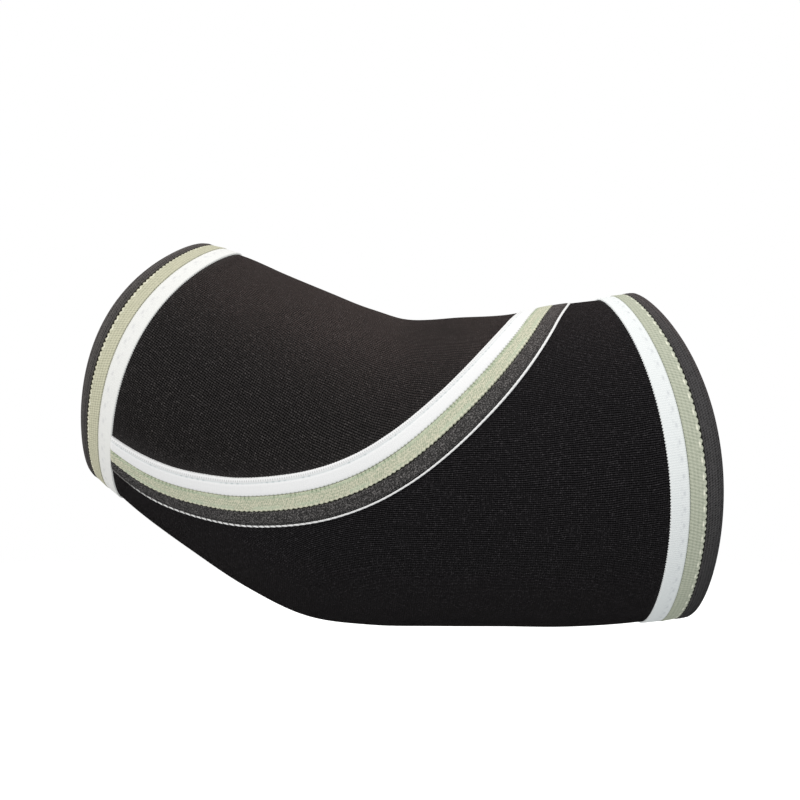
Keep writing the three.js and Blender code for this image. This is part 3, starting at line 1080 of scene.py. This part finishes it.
@dataclass(frozen=True)
class Band:
    """A stripe of webbing, in millimetres. Its near edge is the one where its width starts.

    Attributes:
        width: Width between the lines of its edges.
        top: Height off the skin.
        near: Finish of the near edge.
        far: Finish of the far edge.
        near_spread: How far it stands out past the near edge's line.
        far_spread: How far it stands out past the far edge's line.
        far_drop: How much lower the far edge is, as a share.
        power: How square its edges are.
        groove_at: Distance of the groove from the near edge.
        groove: Depth of the groove.
        groove_width: Half the groove's width.
        points: Points across.
        steps: Steps along.
        tooth_pitch: From one tooth to the next.
        tooth: Size of a tooth.
        tooth_even: Height of a mean tooth, as a share of that size.
        tooth_uneven: How much the teeth differ, as a share.
        tooth_line: How much of a tooth is within the edge's line.
        scallop_pitch: From one scallop to the next.
        scallop: Depth of a scallop.
        scallop_line: How much of a scallop is within the edge's line.
        edge_from: Where the width starts to follow an edge, from 0 in the middle to 1 at the edge.
    """

    width: float
    top: float
    near: Edge = Edge.PLAIN
    far: Edge = Edge.PLAIN
    near_spread: float = 0.0
    far_spread: float = 0.0
    far_drop: float = 0.0
    power: float = 5.0
    groove_at: float = 0.0
    groove: float = 0.0
    groove_width: float = 0.28
    points: int = 17
    steps: int = 800
    tooth_pitch: float = 1.05
    tooth: float = 0.45
    tooth_even: float = 0.8
    tooth_uneven: float = 0.3
    tooth_line: float = 0.6
    scallop_pitch: float = 0.9
    scallop: float = 0.16
    scallop_line: float = 0.5
    edge_from: float = 0.35

    def edge_shift(self, edge: Edge, run: Array) -> Array:
        """How far an edge stands out past its line.

        A tooth is the root of a triangle wave, and two slow sines that beat together make some taller. A
        scallop is a sine without its sign.

        Args:
            edge: How the edge is finished.
            run: The length along the band.

        Returns:
            The distance at each place of the run.
        """
        if edge is Edge.TOOTHED:
            beat = 2 * math.pi * run / self.tooth_pitch
            size = self.tooth * (self.tooth_even + self.tooth_uneven * np.sin(beat / 5) * np.sin(beat / 3))
            return size * (np.sqrt(triangle_wave(run / self.tooth_pitch)) - self.tooth_line)
        if edge is Edge.SCALLOPED:
            return self.scallop * (np.abs(np.sin(math.pi * run / self.scallop_pitch)) - self.scallop_line)
        return np.zeros_like(run)

    def profile(self, run: Array) -> tuple[Array, Array]:
        """The band's upper side, at every station.

        Its height is a superellipse across the width, lower towards the far edge by its drop, less a groove
        where there is one. Near an edge the profile is moved sideways by that edge's teeth or scallops.

        Args:
            run: The length along the band, at each station or at each station and point.

        Returns:
            The distance across from the near edge, and the height off the skin, by station and point.
        """
        x = across_shares(self.points)[None, :]
        across = lerp(-self.near_spread, self.width + self.far_spread, (x + 1) / 2)
        pull = smoothstep(self.edge_from, 1.0, x) * self.edge_shift(self.far, run)
        pull = pull - smoothstep(self.edge_from, 1.0, -x) * self.edge_shift(self.near, run)
        height = (self.top - KNIT_GAP) * crown(x, self.power) * (1 - self.far_drop * (x + 1) / 2)
        height = KNIT_GAP + height
        if self.groove:
            height = height - self.groove * np.exp(-(((across - self.groove_at) / self.groove_width) ** 2))
        over, height = np.broadcast_arrays(across + pull, height)
        return over, height


@dataclass
class SeamTape:
    """The tape over the seam: white, sage and charcoal stripes and a white thread, in millimetres.

    Attributes:
        skin: The sleeve's outer face.
        white_finish: Yarns of the white stripe.
        sage_finish: Yarns of the sage stripe.
        charcoal_finish: Yarns of the charcoal stripe.
        white: The white stripe.
        sage: The sage stripe.
        charcoal: The charcoal stripe.
        thread: Finish and twist of the thread.
        thread_width: Room across for the thread.
        thread_radius: Its radius at the tip of the U, and along the sides.
        thread_thins: Lengths from the tip between which it thins.
        thread_height: Height of its middle.
        thread_swell: How much its radius swells and shrinks, as a share.
        thread_least: The share of that at the tip.
        thread_stations: Points along it.
        thread_points: Points round it.
        above_seam: How far over the seam the white stripe's edge is, on the crook panel.
        tuck: How far the tape goes in under the forearm cuff.
        even: Distances from the seam on the even tape.
        drawn: The same distances where the tape meets the cuff.
        drawn_length: Length over which they are drawn in.
        spread: How wide the tape is at the tip, as a share.
        spread_length: Length over which it narrows.
        tip_shift: How far the tape is moved up at the tip.
        tip_length: Length over which it goes back.
        flat: Its height in the crook, as a share.
        flat_from: Length from the tip at which it starts to rise.
        flat_to: Length from the tip at which it has its full height.
        tucked: Its height under the cuff, as a share.
        tucked_from: Length from its end at which it starts to rise, in tucks.
        tucked_to: Length from its end at which it has come up, in tucks.
        halvings: Steps in which its ends are found.
    """

    skin: Skin
    white_finish: WebFinish
    sage_finish: WebFinish
    charcoal_finish: WebFinish
    white: Band = Band(
        5.5, 1.1, near=Edge.SCALLOPED, far_spread=0.14, groove_at=1.56, groove=0.22, points=25, steps=1200
    )
    sage: Band = Band(
        4.45, 1.0, far=Edge.TOOTHED, near_spread=0.12, far_spread=0.05, power=12.0, tooth=0.55,
        tooth_pitch=1.5, steps=2000,
    )
    charcoal: Band = Band(4.3, 0.8, far_spread=0.12, power=8.0, points=13, steps=800)
    thread: CordFinish = CordFinish("edge_thread")
    thread_width: float = 0.7
    thread_radius: Range = (0.40, 0.31)
    thread_thins: Range = (20.0, 90.0)
    thread_height: float = 0.45
    thread_swell: float = 0.16
    thread_least: float = 0.3
    thread_stations: int = 2600
    thread_points: int = 10
    above_seam: float = 7.55
    tuck: float = 1.2
    even: tuple[float, ...] = (-7.95, -2.70, 1.90, 7.55)
    drawn: tuple[float, ...] = (-4.65, -1.50, 2.00, 6.05)
    drawn_length: float = 30.0
    spread: float = 1.06
    spread_length: float = 75.0
    tip_shift: float = 1.1
    tip_length: float = 26.0
    flat: float = 0.3
    flat_from: float = 15.0
    flat_to: float = 60.0
    tucked: float = 0.2
    tucked_from: float = 0.5
    tucked_to: float = 1.6
    halvings: int = 30

    def beside(self, share: Array, across: Amount) -> Place:
        """Places beside the seam, on a tape that is wider in the crook and narrower near the forearm cuff.

        The width grows from the thread's side by the spread, and the whole tape moves up a little at the tip.
        In the last stretch before the cuff the distances of the even tape are drawn in to shorter ones.

        Args:
            share: Where along the seam, from 0 to 2.
            across: The distance from the seam on an even tape, in millimetres.

        Returns:
            The places.
        """
        from_tip = np.abs(self.skin.seam_length(share))
        from_cuff = np.abs(self.skin.seam_length(np.array(0.0))) - from_tip
        wide = lerp(self.spread, 1.0, smoothstep(0.0, self.spread_length, from_tip))
        pivot = self.above_seam - self.width()
        shift = self.tip_shift * (1 - smoothstep(0.0, self.tip_length, from_tip))
        across = pivot + (across - pivot) * wide + shift
        drawn = np.interp(across, self.even, self.drawn)
        across = lerp(drawn, across, smoothstep(0.0, self.drawn_length, from_cuff))
        return self.skin.beside_seam(share, across)

    def width(self) -> float:
        """The whole tape's width, with the gaps between its stripes."""
        return self.white.width + self.sage.width + self.charcoal.width + self.thread_width + 3 * STRIPE_GAP

    def start(self, across: Array) -> Array:
        """Finds by halving where lines beside the seam go in under the forearm cuff.

        Args:
            across: The lines' distances from the seam on an even tape.

        Returns:
            The share of the seam at which each line starts.
        """
        cuff = FOREARM.binding + FOREARM.sage + FOREARM.white + 2 * STRIPE_GAP - self.tuck
        low, high = np.zeros_like(across), np.full_like(across, 0.5)
        for _ in range(self.halvings):
            middle = (low + high) / 2
            place = self.beside(middle, across)
            under = place.along < self.skin.in_from_hem(FOREARM, place.turn, cuff).along
            low, high = np.where(under, middle, low), np.where(under, high, middle)
        return high

    def shares(self, across: Array, stations: int) -> Array:
        """Shares of the seam by station and line, each line from its own start to its own end."""
        t = np.linspace(-1, 1, stations)[:, None]
        return 1 + t * (1 - self.start(across))[None, :]

    def settle(self, height: Array, share: Array, across: Array) -> Array:
        """Flattens the tape in the crook, and again where it goes in under the cuff.

        Args:
            height: Heights on the full tape.
            share: Shares of the seam.
            across: The lines' distances from the seam on an even tape.

        Returns:
            The heights as they are there.
        """
        run = np.abs(self.skin.seam_length(share))
        ends = np.abs(self.skin.seam_length(self.start(across)))[None, :]
        out = smoothstep(self.tuck * self.tucked_from, self.tuck * self.tucked_to, ends - run)
        full = lerp(self.tucked, 1.0, out) * lerp(self.flat, 1.0, smoothstep(self.flat_from, self.flat_to, run))
        return KNIT_GAP + (height - KNIT_GAP) * full

    def stripe(self, start: float, band: Band) -> Loft:
        """One stripe of webbing.

        Args:
            start: Distance of its near edge from the seam. Its width runs on towards the elbow panel.
            band: Its size and edges.

        Returns:
            The stripe.
        """
        across = start - (across_shares(band.points) + 1) / 2 * band.width
        share = self.shares(across, band.steps + 1)
        run = self.skin.seam_length(share)
        over, height = band.profile(run)
        places = self.beside(share, start - over)
        top = self.skin.off(places, self.settle(height, share, across))
        return slab(top, self.skin.off(places, KNIT_GAP / 2), cloth_grid(run, over))

    def cord(self, start: float) -> Loft:
        """The white thread: a round cord whose radius swells and shrinks twice round it as it twists.

        Args:
            start: Distance of its near side from the seam.

        Returns:
            The thread.
        """
        centre = np.array([start - self.thread_width / 2])
        line = self.shares(centre, self.thread_stations)
        run = self.skin.seam_length(line)
        radius = lerp(*self.thread_radius, smoothstep(*self.thread_thins, np.abs(run)))
        angle = np.linspace(0, 2 * math.pi, self.thread_points, endpoint=False)[None, :]
        show = lerp(self.thread_least, 1.0, smoothstep(*self.thread.twist_from_to, np.abs(run)))
        plies = np.cos(2 * angle - 2 * math.pi * run / self.thread.pitch)
        swell = 1 + self.thread_swell * show * plies
        over = centre + radius * swell * np.sin(angle)
        height = self.settle(self.thread_height + radius * swell * np.cos(angle), line, centre)
        loops = self.skin.off(self.beside(np.broadcast_to(line, over.shape), over), height)
        around = np.linspace(0, self.thread.girth, self.thread_points + 1)[None, :]
        return Loft(loops, cloth_grid(run, around))

    def build(self) -> list[bpy.types.Object]:
        """Makes the three stripes and the thread.

        Returns:
            Their objects, from the crook panel's side to the elbow panel's.
        """
        stripes = (
            ("white", self.white, self.white_finish),
            ("sage", self.sage, self.sage_finish),
            ("charcoal", self.charcoal, self.charcoal_finish),
        )
        start, made = self.above_seam, []
        for name, band, finish in stripes:
            node, slot = f"seam_tape_{name}", f"tape_{name}"
            made.append(Piece(f"{node}_web", self.stripe(start, band), finish, node, slot).place())
            start = start - band.width - STRIPE_GAP
        thread = Piece("seam_edge_thread", self.cord(start), self.thread, "seam_edge_white", "tape_white")
        return [*made, thread.place()]


@dataclass
class Cuff:
    """A striped cuff: white and sage bands and a charcoal binding folded round the hem, in millimetres.

    Attributes:
        name: The start of its pieces' names.
        skin: The sleeve's outer face.
        limb: The end that it is on.
        white_finish: Yarns of the white band.
        sage_finish: Yarns of the sage band.
        charcoal_finish: Yarns of the binding.
        nose_out: How far the binding stands past the hem.
        scallop: Depth of the white band's scallops.
        scallop_pitch: From one scallop to the next.
        scallop_steps: Steps along one scallop.
        tooth: Size of the sage band's teeth.
        tooth_steps: Steps along one tooth.
        band_white: Height of the white band.
        band_sage: Height of the sage band.
        binding: Thickness of the binding.
        binding_steps: Steps round the hem.
        nose: How far in from the hem its round edge starts.
        inner_width: Width of its inner leg.
        inner_round: How far the inner leg's corner is cut off.
        lip_width: Length over which the outer leg's edge is rounded.
        lip_share: Height over which it is rounded, as a share of the thickness.
        ridge: Height of the ridges along the outer leg.
        ridge_pitch: From one ridge to the next.
    """

    name: str
    skin: Skin
    limb: Limb
    white_finish: WebFinish
    sage_finish: WebFinish
    charcoal_finish: WebFinish
    nose_out: float = 0.0
    scallop: float = 0.16
    scallop_pitch: float = 0.7
    scallop_steps: int = 4
    tooth: float = 0.66
    tooth_steps: int = 10
    band_white: float = 0.75
    band_sage: float = 0.9
    binding: float = 0.7
    binding_steps: int = 620
    nose: float = NOSE
    inner_width: float = 3.2
    inner_round: float = 0.3
    lip_width: float = 0.8
    lip_share: float = 0.6
    ridge: float = 0.07
    ridge_pitch: float = 1.1

    def turns(self, steps: int) -> tuple[Array, Array]:
        """Even turns round the hem from the crook, and the same as a length along a girth of whole ribs."""
        t = np.linspace(0, 1, steps + 1)[:, None]
        return CROOK - 2 * math.pi * t, t * self.limb.girth

    def ring(self, turn: Array, distance: Array, height: Amount) -> Array:
        """Points round the sleeve at distances in from the hem and heights off the skin.

        A distance below 0 goes straight on past the hem.

        Args:
            turn: Where round the sleeve.
            distance: How far in from the hem, in millimetres.
            height: How high off the skin.

        Returns:
            The points.
        """
        place = self.skin.in_from_hem(self.limb, turn, np.maximum(distance, 0))
        outward = unit(self.skin.directions(place)[0]) * (2 * self.limb.end - 1)
        return self.skin.off(place, height) - outward * np.minimum(distance, 0)[..., None]

    def band(self, start: float, band: Band) -> Loft:
        """One band of webbing round the sleeve.

        Args:
            start: How far in from the hem its near edge is.
            band: Its size and edges.

        Returns:
            The band's ring.
        """
        turn, run = self.turns(band.steps)
        over, height = band.profile(run)
        top = self.ring(turn, start + over, height)
        return slab(top, self.ring(turn, start + over, KNIT_GAP / 2), cloth_grid(run, over), closed=True)

    def binding_profile(self) -> Array:
        """The binding's section, once round.

        It is the outer leg with a rounded edge (a quarter of an ellipse), half an ellipse round the wall's
        edge, the inner leg, and the channel that holds the wall.

        Returns:
            Distances in from the hem and heights off the skin, by point.
        """
        outer_width, wall, top = self.limb.binding, self.skin.wall, TRIM_LIFT + self.binding
        middle, reach = -wall / 2, wall / 2 + TRIM_LIFT + self.binding
        lip = np.linspace(0, math.pi / 2, 7)
        lip_height = self.binding * self.lip_share
        edge = [outer_width - self.lip_width * (1 - np.cos(lip)), top - lip_height * (1 - np.sin(lip))]
        leg = np.linspace(outer_width - self.lip_width, self.nose, 20)[1:]
        angle = np.linspace(0, math.pi, 18)[1:]
        nose = [self.nose - (self.nose + self.nose_out) * np.sin(angle), middle + reach * np.cos(angle)]
        inner, floor, under = self.inner_width, self.skin.panel_edge - KNIT_GAP, -wall - KNIT_GAP
        channel = [
            [inner - self.inner_round, inner, inner, floor, floor, outer_width],
            [middle - reach, middle - reach + self.inner_round, under, under, KNIT_GAP, KNIT_GAP],
        ]
        return np.concatenate([edge, [leg, np.full(leg.shape, top)], nose, channel], axis=1).T

    def bound_edge(self) -> Loft:
        """The binding, its section carried round the hem. Low ridges, a wave across it, run along the top.

        Returns:
            The binding's ring.
        """
        profile = self.binding_profile()
        on_top = profile[:, 1] > TRIM_LIFT + self.binding * self.lip_share
        ridges = np.where(on_top, np.cos(2 * math.pi * profile[:, 0] / self.ridge_pitch), 0.0)
        height = profile[:, 1] + self.ridge * ridges
        turn, run = self.turns(self.binding_steps)
        loops = self.ring(turn, profile[None, :, 0], height[None, :])
        lengths = np.linalg.norm(np.diff(np.concatenate([profile, profile[:1]]), axis=0), axis=1)
        around = np.concatenate([[0.0], np.cumsum(lengths)])[None, :]
        return Loft(loops, cloth_grid(run, around), closed=True)

    def build(self) -> list[bpy.types.Object]:
        """Makes the two bands and the binding.

        Returns:
            Their objects, from the panel's side to the hem.
        """
        limb = self.limb
        sage_from = limb.binding + STRIPE_GAP
        white_from = sage_from + limb.sage + STRIPE_GAP
        white = Band(
            limb.white, self.band_white, far=Edge.SCALLOPED, near_spread=0.15, far_drop=0.35, power=18.0,
            points=11, scallop=self.scallop, scallop_pitch=self.scallop_pitch,
            steps=self.scallop_steps * round(limb.girth / self.scallop_pitch),
        )
        sage = Band(
            limb.sage, self.band_sage, near=Edge.TOOTHED, far_spread=0.14, power=18.0, tooth=self.tooth,
            tooth_pitch=limb.tooth_pitch, steps=self.tooth_steps * limb.teeth,
        )
        pieces = (
            ("band_white_web", self.band(white_from, white), self.white_finish, "band_white", "tape_white"),
            ("band_sage_web", self.band(sage_from, sage), self.sage_finish, "band_sage", "tape_sage"),
            ("binding_web", self.bound_edge(), self.charcoal_finish, "binding_charcoal", "tape_charcoal"),
        )
        return [
            Piece(f"{self.name}_{name}", loft, finish, f"{self.name}_{node}", slot).place()
            for name, loft, finish, node, slot in pieces
        ]


def seam_tape(skin: Skin) -> SeamTape:
    """The tape over the seam.

    Args:
        skin: The sleeve's outer face.

    Returns:
        The tape, in its yarns.
    """
    band = SeamTape.white
    white = WebFinish(
        "tape_white_web", (0.82, 0.82, 0.825), (0.66, 0.67, 0.69), (0.86, 0.86, 0.86), rib_pitch=0.75,
        rib_share=0.35, column_share=0.0, depth=0.04, shade_share=0.25, mottle=0.25,
        rows=(
            DotRow(0.78, 0.3, 0.75, (0.40, 0.41, 0.41), 0.7, sink=0.4),
            DotRow(band.groove_at, 0.22, 0.0, (0.58, 0.64, 0.65), 0.5),
            DotRow(band.groove_at, 0.22, 1.9, (0.38, 0.44, 0.45), 0.65, run=4.0, sink=0.3),
            DotRow(band.width, 0.25, 1.3, (0.24, 0.28, 0.18), 0.7),
        ),
    )
    sage = WebFinish(
        "tape_sage_web", (0.60, 0.61, 0.47), (0.17, 0.22, 0.14), (0.74, 0.69, 0.54), rib_pitch=0.7,
        rib_share=0.35, column_pitch=0.92, column_share=0.2, slant=0.6, depth=0.15, shade_share=0.8,
        mottle_size=0.5, mottle=0.6, mottle_from=0.44, mottle_to=0.60,
        rows=(
            DotRow(0.4, 0.4, 0.0, (0.40, 0.49, 0.35), 0.6),
            DotRow(0.25, 0.3, 1.3, (0.14, 0.19, 0.11), 0.85, run=4.0),
            DotRow(3.5, 0.55, 0.0, (0.47, 0.56, 0.42), 0.45, run=9.0),
            # A paler mark on each tooth: a painted highlight.
            DotRow(4.15, 0.25, 1.5, (0.80, 0.78, 0.62), 0.5),
        ),
    )
    charcoal = WebFinish(
        "tape_charcoal_web", (0.036, 0.033, 0.033), (0.003, 0.003, 0.003), (0.23, 0.215, 0.21),
        rib_pitch=0.7, rib_share=0.35, column_pitch=0.78, column_share=0.2, slant=0.35, depth=0.2,
        shade_share=0.95, mottle_size=0.36, mottle=0.62, mottle_from=0.48, mottle_to=0.66, gloss=1.0,
        rows=(DotRow(3.95, 0.25, 0.0, (0.006, 0.006, 0.007), 0.5),),
    )
    return SeamTape(skin, white, sage, charcoal)


def chain_rows(tone: Colour) -> tuple[DotRow, ...]:
    """The paler chain lines along a charcoal binding's outer leg."""
    return tuple(DotRow(at, 0.2, 0.7, tone, 0.45) for at in (1.9, 2.9))


def forearm_cuff(skin: Skin) -> Cuff:
    """The cuff at the forearm hem.

    Args:
        skin: The sleeve's outer face.

    Returns:
        The cuff, its yarns painted lighter and warmer than the upper-arm cuff's, as painted light from the
        upper left.
    """
    # The same webbing as the upper-arm cuff: the white is painted warmer, and the sage and charcoal lighter and
    # warmer, as painted light from the upper left.
    white = WebFinish(
        "forearm_white_web", (0.82, 0.82, 0.80), (0.66, 0.66, 0.64), (0.86, 0.86, 0.84), rib_pitch=0.7,
        rib_share=0.3, column_share=0.0, depth=0.05, shade_share=0.25, mottle=0.3,
        rows=(
            # A faint painted shade along the join with the sage band.
            DotRow(0.1, 0.25, 0.0, (0.62, 0.62, 0.57), 0.25),
            DotRow(1.5, 0.35, 4.7, (0.50, 0.50, 0.53), 0.4, sink=0.5, sharp=4.0),
            DotRow(2.3, 0.3, 2.35, (0.55, 0.55, 0.58), 0.25, run=5.0, sink=0.3),
        ),
    )
    sage = WebFinish(
        "forearm_sage_web", (0.65, 0.64, 0.475), (0.27, 0.265, 0.19), (0.70, 0.67, 0.51), rib_pitch=0.75,
        rib_share=0.4, column_pitch=0.8, column_share=0.35, slant=0.5, depth=0.16, shade_share=0.8,
        mottle=0.3,
        rows=(
            # A paler mark on each tooth: a painted highlight.
            DotRow(0.15, 0.30, FOREARM.tooth_pitch, (0.80, 0.78, 0.62), 0.5),
            DotRow(0.4, 0.28, 2 * FOREARM.tooth_pitch, (0.92, 0.90, 0.74), 0.85, run=9.0, sharp=4.0),
        ),
    )
    charcoal = WebFinish(
        "forearm_charcoal_web", (0.096, 0.084, 0.080), (0.004, 0.004, 0.004), (0.13, 0.117, 0.11),
        rib_pitch=0.7, rib_share=0.45, column_pitch=0.8, column_share=0.4, slant=0.5, depth=0.2,
        shade_share=1.0, mottle=0.3, gloss=1.0, rows=chain_rows((0.14, 0.13, 0.125)),
    )
    return Cuff("forearm", skin, FOREARM, white, sage, charcoal)


def upper_arm_cuff(skin: Skin) -> Cuff:
    """The cuff at the upper-arm hem.

    Args:
        skin: The sleeve's outer face.

    Returns:
        The cuff, its white painted cooler and its sage and charcoal darker and cooler than the forearm cuff's,
        as painted shade on this end of the sleeve.
    """
    # The same webbing as the forearm cuff: the white is painted cooler, and the sage and charcoal darker and
    # cooler, as painted shade where less light reaches.
    white = WebFinish(
        "upper_arm_white_web", (0.792, 0.82, 0.822), (0.59, 0.63, 0.645), (0.85, 0.86, 0.86),
        rib_pitch=0.7, rib_share=0.5, column_share=0.0, depth=0.08, shade_share=0.35, mottle=0.25,
        rows=(
            # A faint painted shade along the join with the sage band.
            DotRow(0.1, 0.25, 0.0, (0.60, 0.62, 0.58), 0.25),
            DotRow(1.5, 0.35, 4.7, (0.44, 0.46, 0.50), 0.45, sink=0.5, sharp=4.0),
            DotRow(2.2, 0.3, 2.35, (0.50, 0.52, 0.56), 0.25, run=5.0, sink=0.3),
        ),
    )
    sage = WebFinish(
        "upper_arm_sage_web", (0.55, 0.57, 0.46), (0.20, 0.235, 0.17), (0.58, 0.59, 0.48), rib_pitch=1.0,
        rib_share=0.45, column_pitch=1.15, column_share=0.25, slant=0.45, depth=0.16, shade_share=0.8,
        mottle=0.3,
        rows=(
            # A paler mark on each tooth: a painted highlight.
            DotRow(0.15, 0.30, UPPER_ARM.tooth_pitch, (0.70, 0.70, 0.58), 0.5),
            DotRow(0.75, 0.24, 4.5, (0.92, 0.91, 0.76), 0.9, sharp=3.0),
        ),
    )
    charcoal = WebFinish(
        "upper_arm_charcoal_web", (0.062, 0.058, 0.061), (0.003, 0.003, 0.003), (0.090, 0.085, 0.088),
        rib_pitch=0.75, rib_share=0.45, column_pitch=0.85, column_share=0.4, slant=0.5, depth=0.2,
        shade_share=1.0, mottle=0.3, gloss=1.0, rows=chain_rows((0.10, 0.097, 0.10)),
    )
    return Cuff(
        "upper_arm", skin, UPPER_ARM, white, sage, charcoal, nose_out=0.7, scallop=0.28, scallop_pitch=0.9
    )


@dataclass(frozen=True)
class SoftLight:
    """A round soft light: where it is, how wide, how strong, which colour, and whether it only gleams."""

    name: str
    at: tuple[float, float, float]
    size: float
    power: float
    colour: Colour
    gleam_only: bool = False

    def place(self) -> None:
        """Makes the light and turns it to the sleeve."""
        data = bpy.data.lights.new(self.name, "AREA")
        data.shape = "DISK"
        data.size = self.size
        data.energy = self.power
        data.color = self.colour
        light = bpy.data.objects.new(self.name, data)
        light.location = self.at
        light.rotation_euler = (-Vector(self.at)).to_track_quat("-Z", "Y").to_euler()
        light.visible_diffuse = not self.gleam_only
        bpy.context.scene.collection.objects.link(light)


@dataclass
class Studio:
    """The pale floor, the soft light and the camera, in metres.

    Attributes:
        floor_drop: How far below the sleeve's seat the floor is.
        floor_steps: Points round the floor.
        floor_rings: Circles of points.
        floor_middle: Radius of the smallest circle, as a share.
        camera_at: The camera's place.
        lens: Its focal length, in millimetres.
        sensor: Width of its sensor, in millimetres.
        clip: How near and how far it sees.
        room_light: Strength of the light from all round.
        room_from_above: How much stronger it is from above.
        room_from_left: How much stronger it is from the left.
        tint_from_right: How much cooler it is from the right.
        tint_from_above: How much warmer it is from above.
        warm: Its colour on the left.
        cool: Its colour on the right.
        lights: The soft lights.
    """

    floor_drop: float = 0.16
    floor_steps: int = 48
    floor_rings: int = 12
    floor_middle: float = 0.02
    camera_at: tuple[float, float, float] = (0.0099, -0.4, 0.02343)
    lens: float = 54.545
    sensor: float = 36.0
    clip: Range = (0.01, 20.0)
    room_light: float = 0.97
    room_from_above: float = 0.38
    room_from_left: float = 0.18
    tint_from_right: float = 0.5
    tint_from_above: float = 0.3
    warm: Colour = (1.0, 0.985, 0.965)
    cool: Colour = (0.955, 0.99, 1.0)
    lights: tuple[SoftLight, ...] = (
        SoftLight("key", (-0.45, -0.75, 0.55), 0.6, 1.6, (1.0, 0.97, 0.94)),
        SoftLight("gleam", (0.50, 0.40, 0.77), 0.6, 2.9, (1.0, 0.74, 0.67), gleam_only=True),
    )

    def floor(self) -> None:
        """A flat disc: points at even turns on circles of evenly growing radius, with a disc in the middle."""
        finish, steps = FloorFinish(), self.floor_steps
        radius = np.linspace(self.floor_middle, 1, self.floor_rings)[:, None] * finish.radius
        turn = np.linspace(0, 2 * math.pi, steps, endpoint=False)[None, :]
        level = np.full((self.floor_rings, steps), -self.floor_drop)
        points = np.stack([radius * np.cos(turn), radius * np.sin(turn), level], axis=-1).reshape(-1, 3)
        i, j = np.meshgrid(np.arange(self.floor_rings - 1), np.arange(steps), indexing="ij")
        here, after = i * steps + j, i * steps + (j + 1) % steps
        faces = np.stack([here, here + steps, after + steps, after], axis=-1).reshape(-1, 4)
        mesh = bpy.data.meshes.new("floor")
        mesh.from_pydata(points.tolist(), [], [*faces.tolist(), list(range(steps))])
        mesh.materials.append(finish.build())
        floor = bpy.data.objects.new("floor", mesh)
        bpy.context.scene.collection.objects.link(floor)
        floor.visible_diffuse = floor.visible_glossy = False

    def world(self) -> None:
        """White all round to the camera. The sleeve gets soft light, stronger from above, warm on the left."""
        world = bpy.data.worlds.new("studio")
        world.use_nodes = True
        world.cycles_visibility.glossy = False
        bpy.context.scene.world = world
        g = Graph(world.node_tree)
        way = g.node("ShaderNodeTexCoord", None, None, "Generated")
        right = g.node("ShaderNodeSeparateXYZ", None, {0: way})
        up = right.output("Z")
        strength = self.room_light + up * self.room_from_above - right * self.room_from_left
        share = 0.5 + right * self.tint_from_right - up * self.tint_from_above
        lit = g.node("ShaderNodeBackground", None, {
            "Color": g.blend(share, self.warm, self.cool), "Strength": strength,
        })
        seen = g.node("ShaderNodeBackground", None, {"Color": (1.0, 1.0, 1.0), "Strength": 1.0})
        camera_ray = g.node("ShaderNodeLightPath", None, None, "Is Camera Ray")
        mixed = g.node("ShaderNodeMixShader", None, {0: camera_ray, 1: lit, 2: seen})
        g.node("ShaderNodeOutputWorld", None, {"Surface": mixed})

    def camera(self) -> None:
        """The camera, level and square to the sleeve's side, as near as the photograph was taken."""
        data = bpy.data.cameras.new("camera")
        data.sensor_width = self.sensor
        data.lens = self.lens
        data.clip_start, data.clip_end = self.clip
        camera = bpy.data.objects.new("camera", data)
        camera.location = self.camera_at
        camera.rotation_euler = (math.pi / 2, 0.0, 0.0)
        bpy.context.scene.collection.objects.link(camera)
        bpy.context.scene.camera = camera

    def build(self) -> None:
        """Sets up the studio."""
        self.floor()
        self.world()
        for light in self.lights:
            light.place()
        self.camera()
        bpy.context.scene.view_settings.view_transform = "Standard"
        LOG.info("studio: floor, soft light and camera")


def declare_cloth(trims: list[bpy.types.Object]) -> None:
    """Sorts the trims into the upper-arm cuff's pieces and the rest.

    Args:
        trims: The tape's and the cuffs' pieces.
    """
    on_elbow = [trim for trim in trims if trim.name.startswith("upper_arm")]
    on_crook = [trim for trim in trims if trim not in on_elbow]


def main() -> None:
    """Builds the sleeve's sub-assemblies in order, then the studio."""
    logging.basicConfig(level=logging.INFO, format="%(name)s: %(message)s")
    skin = Skin()
    panels = Panels(skin).build()
    trims = []
    for trim in (seam_tape(skin), forearm_cuff(skin), upper_arm_cuff(skin)):
        trims += trim.build()
    declare_cloth(trims)
    Studio().build()


if __name__ == "__main__":
    main()
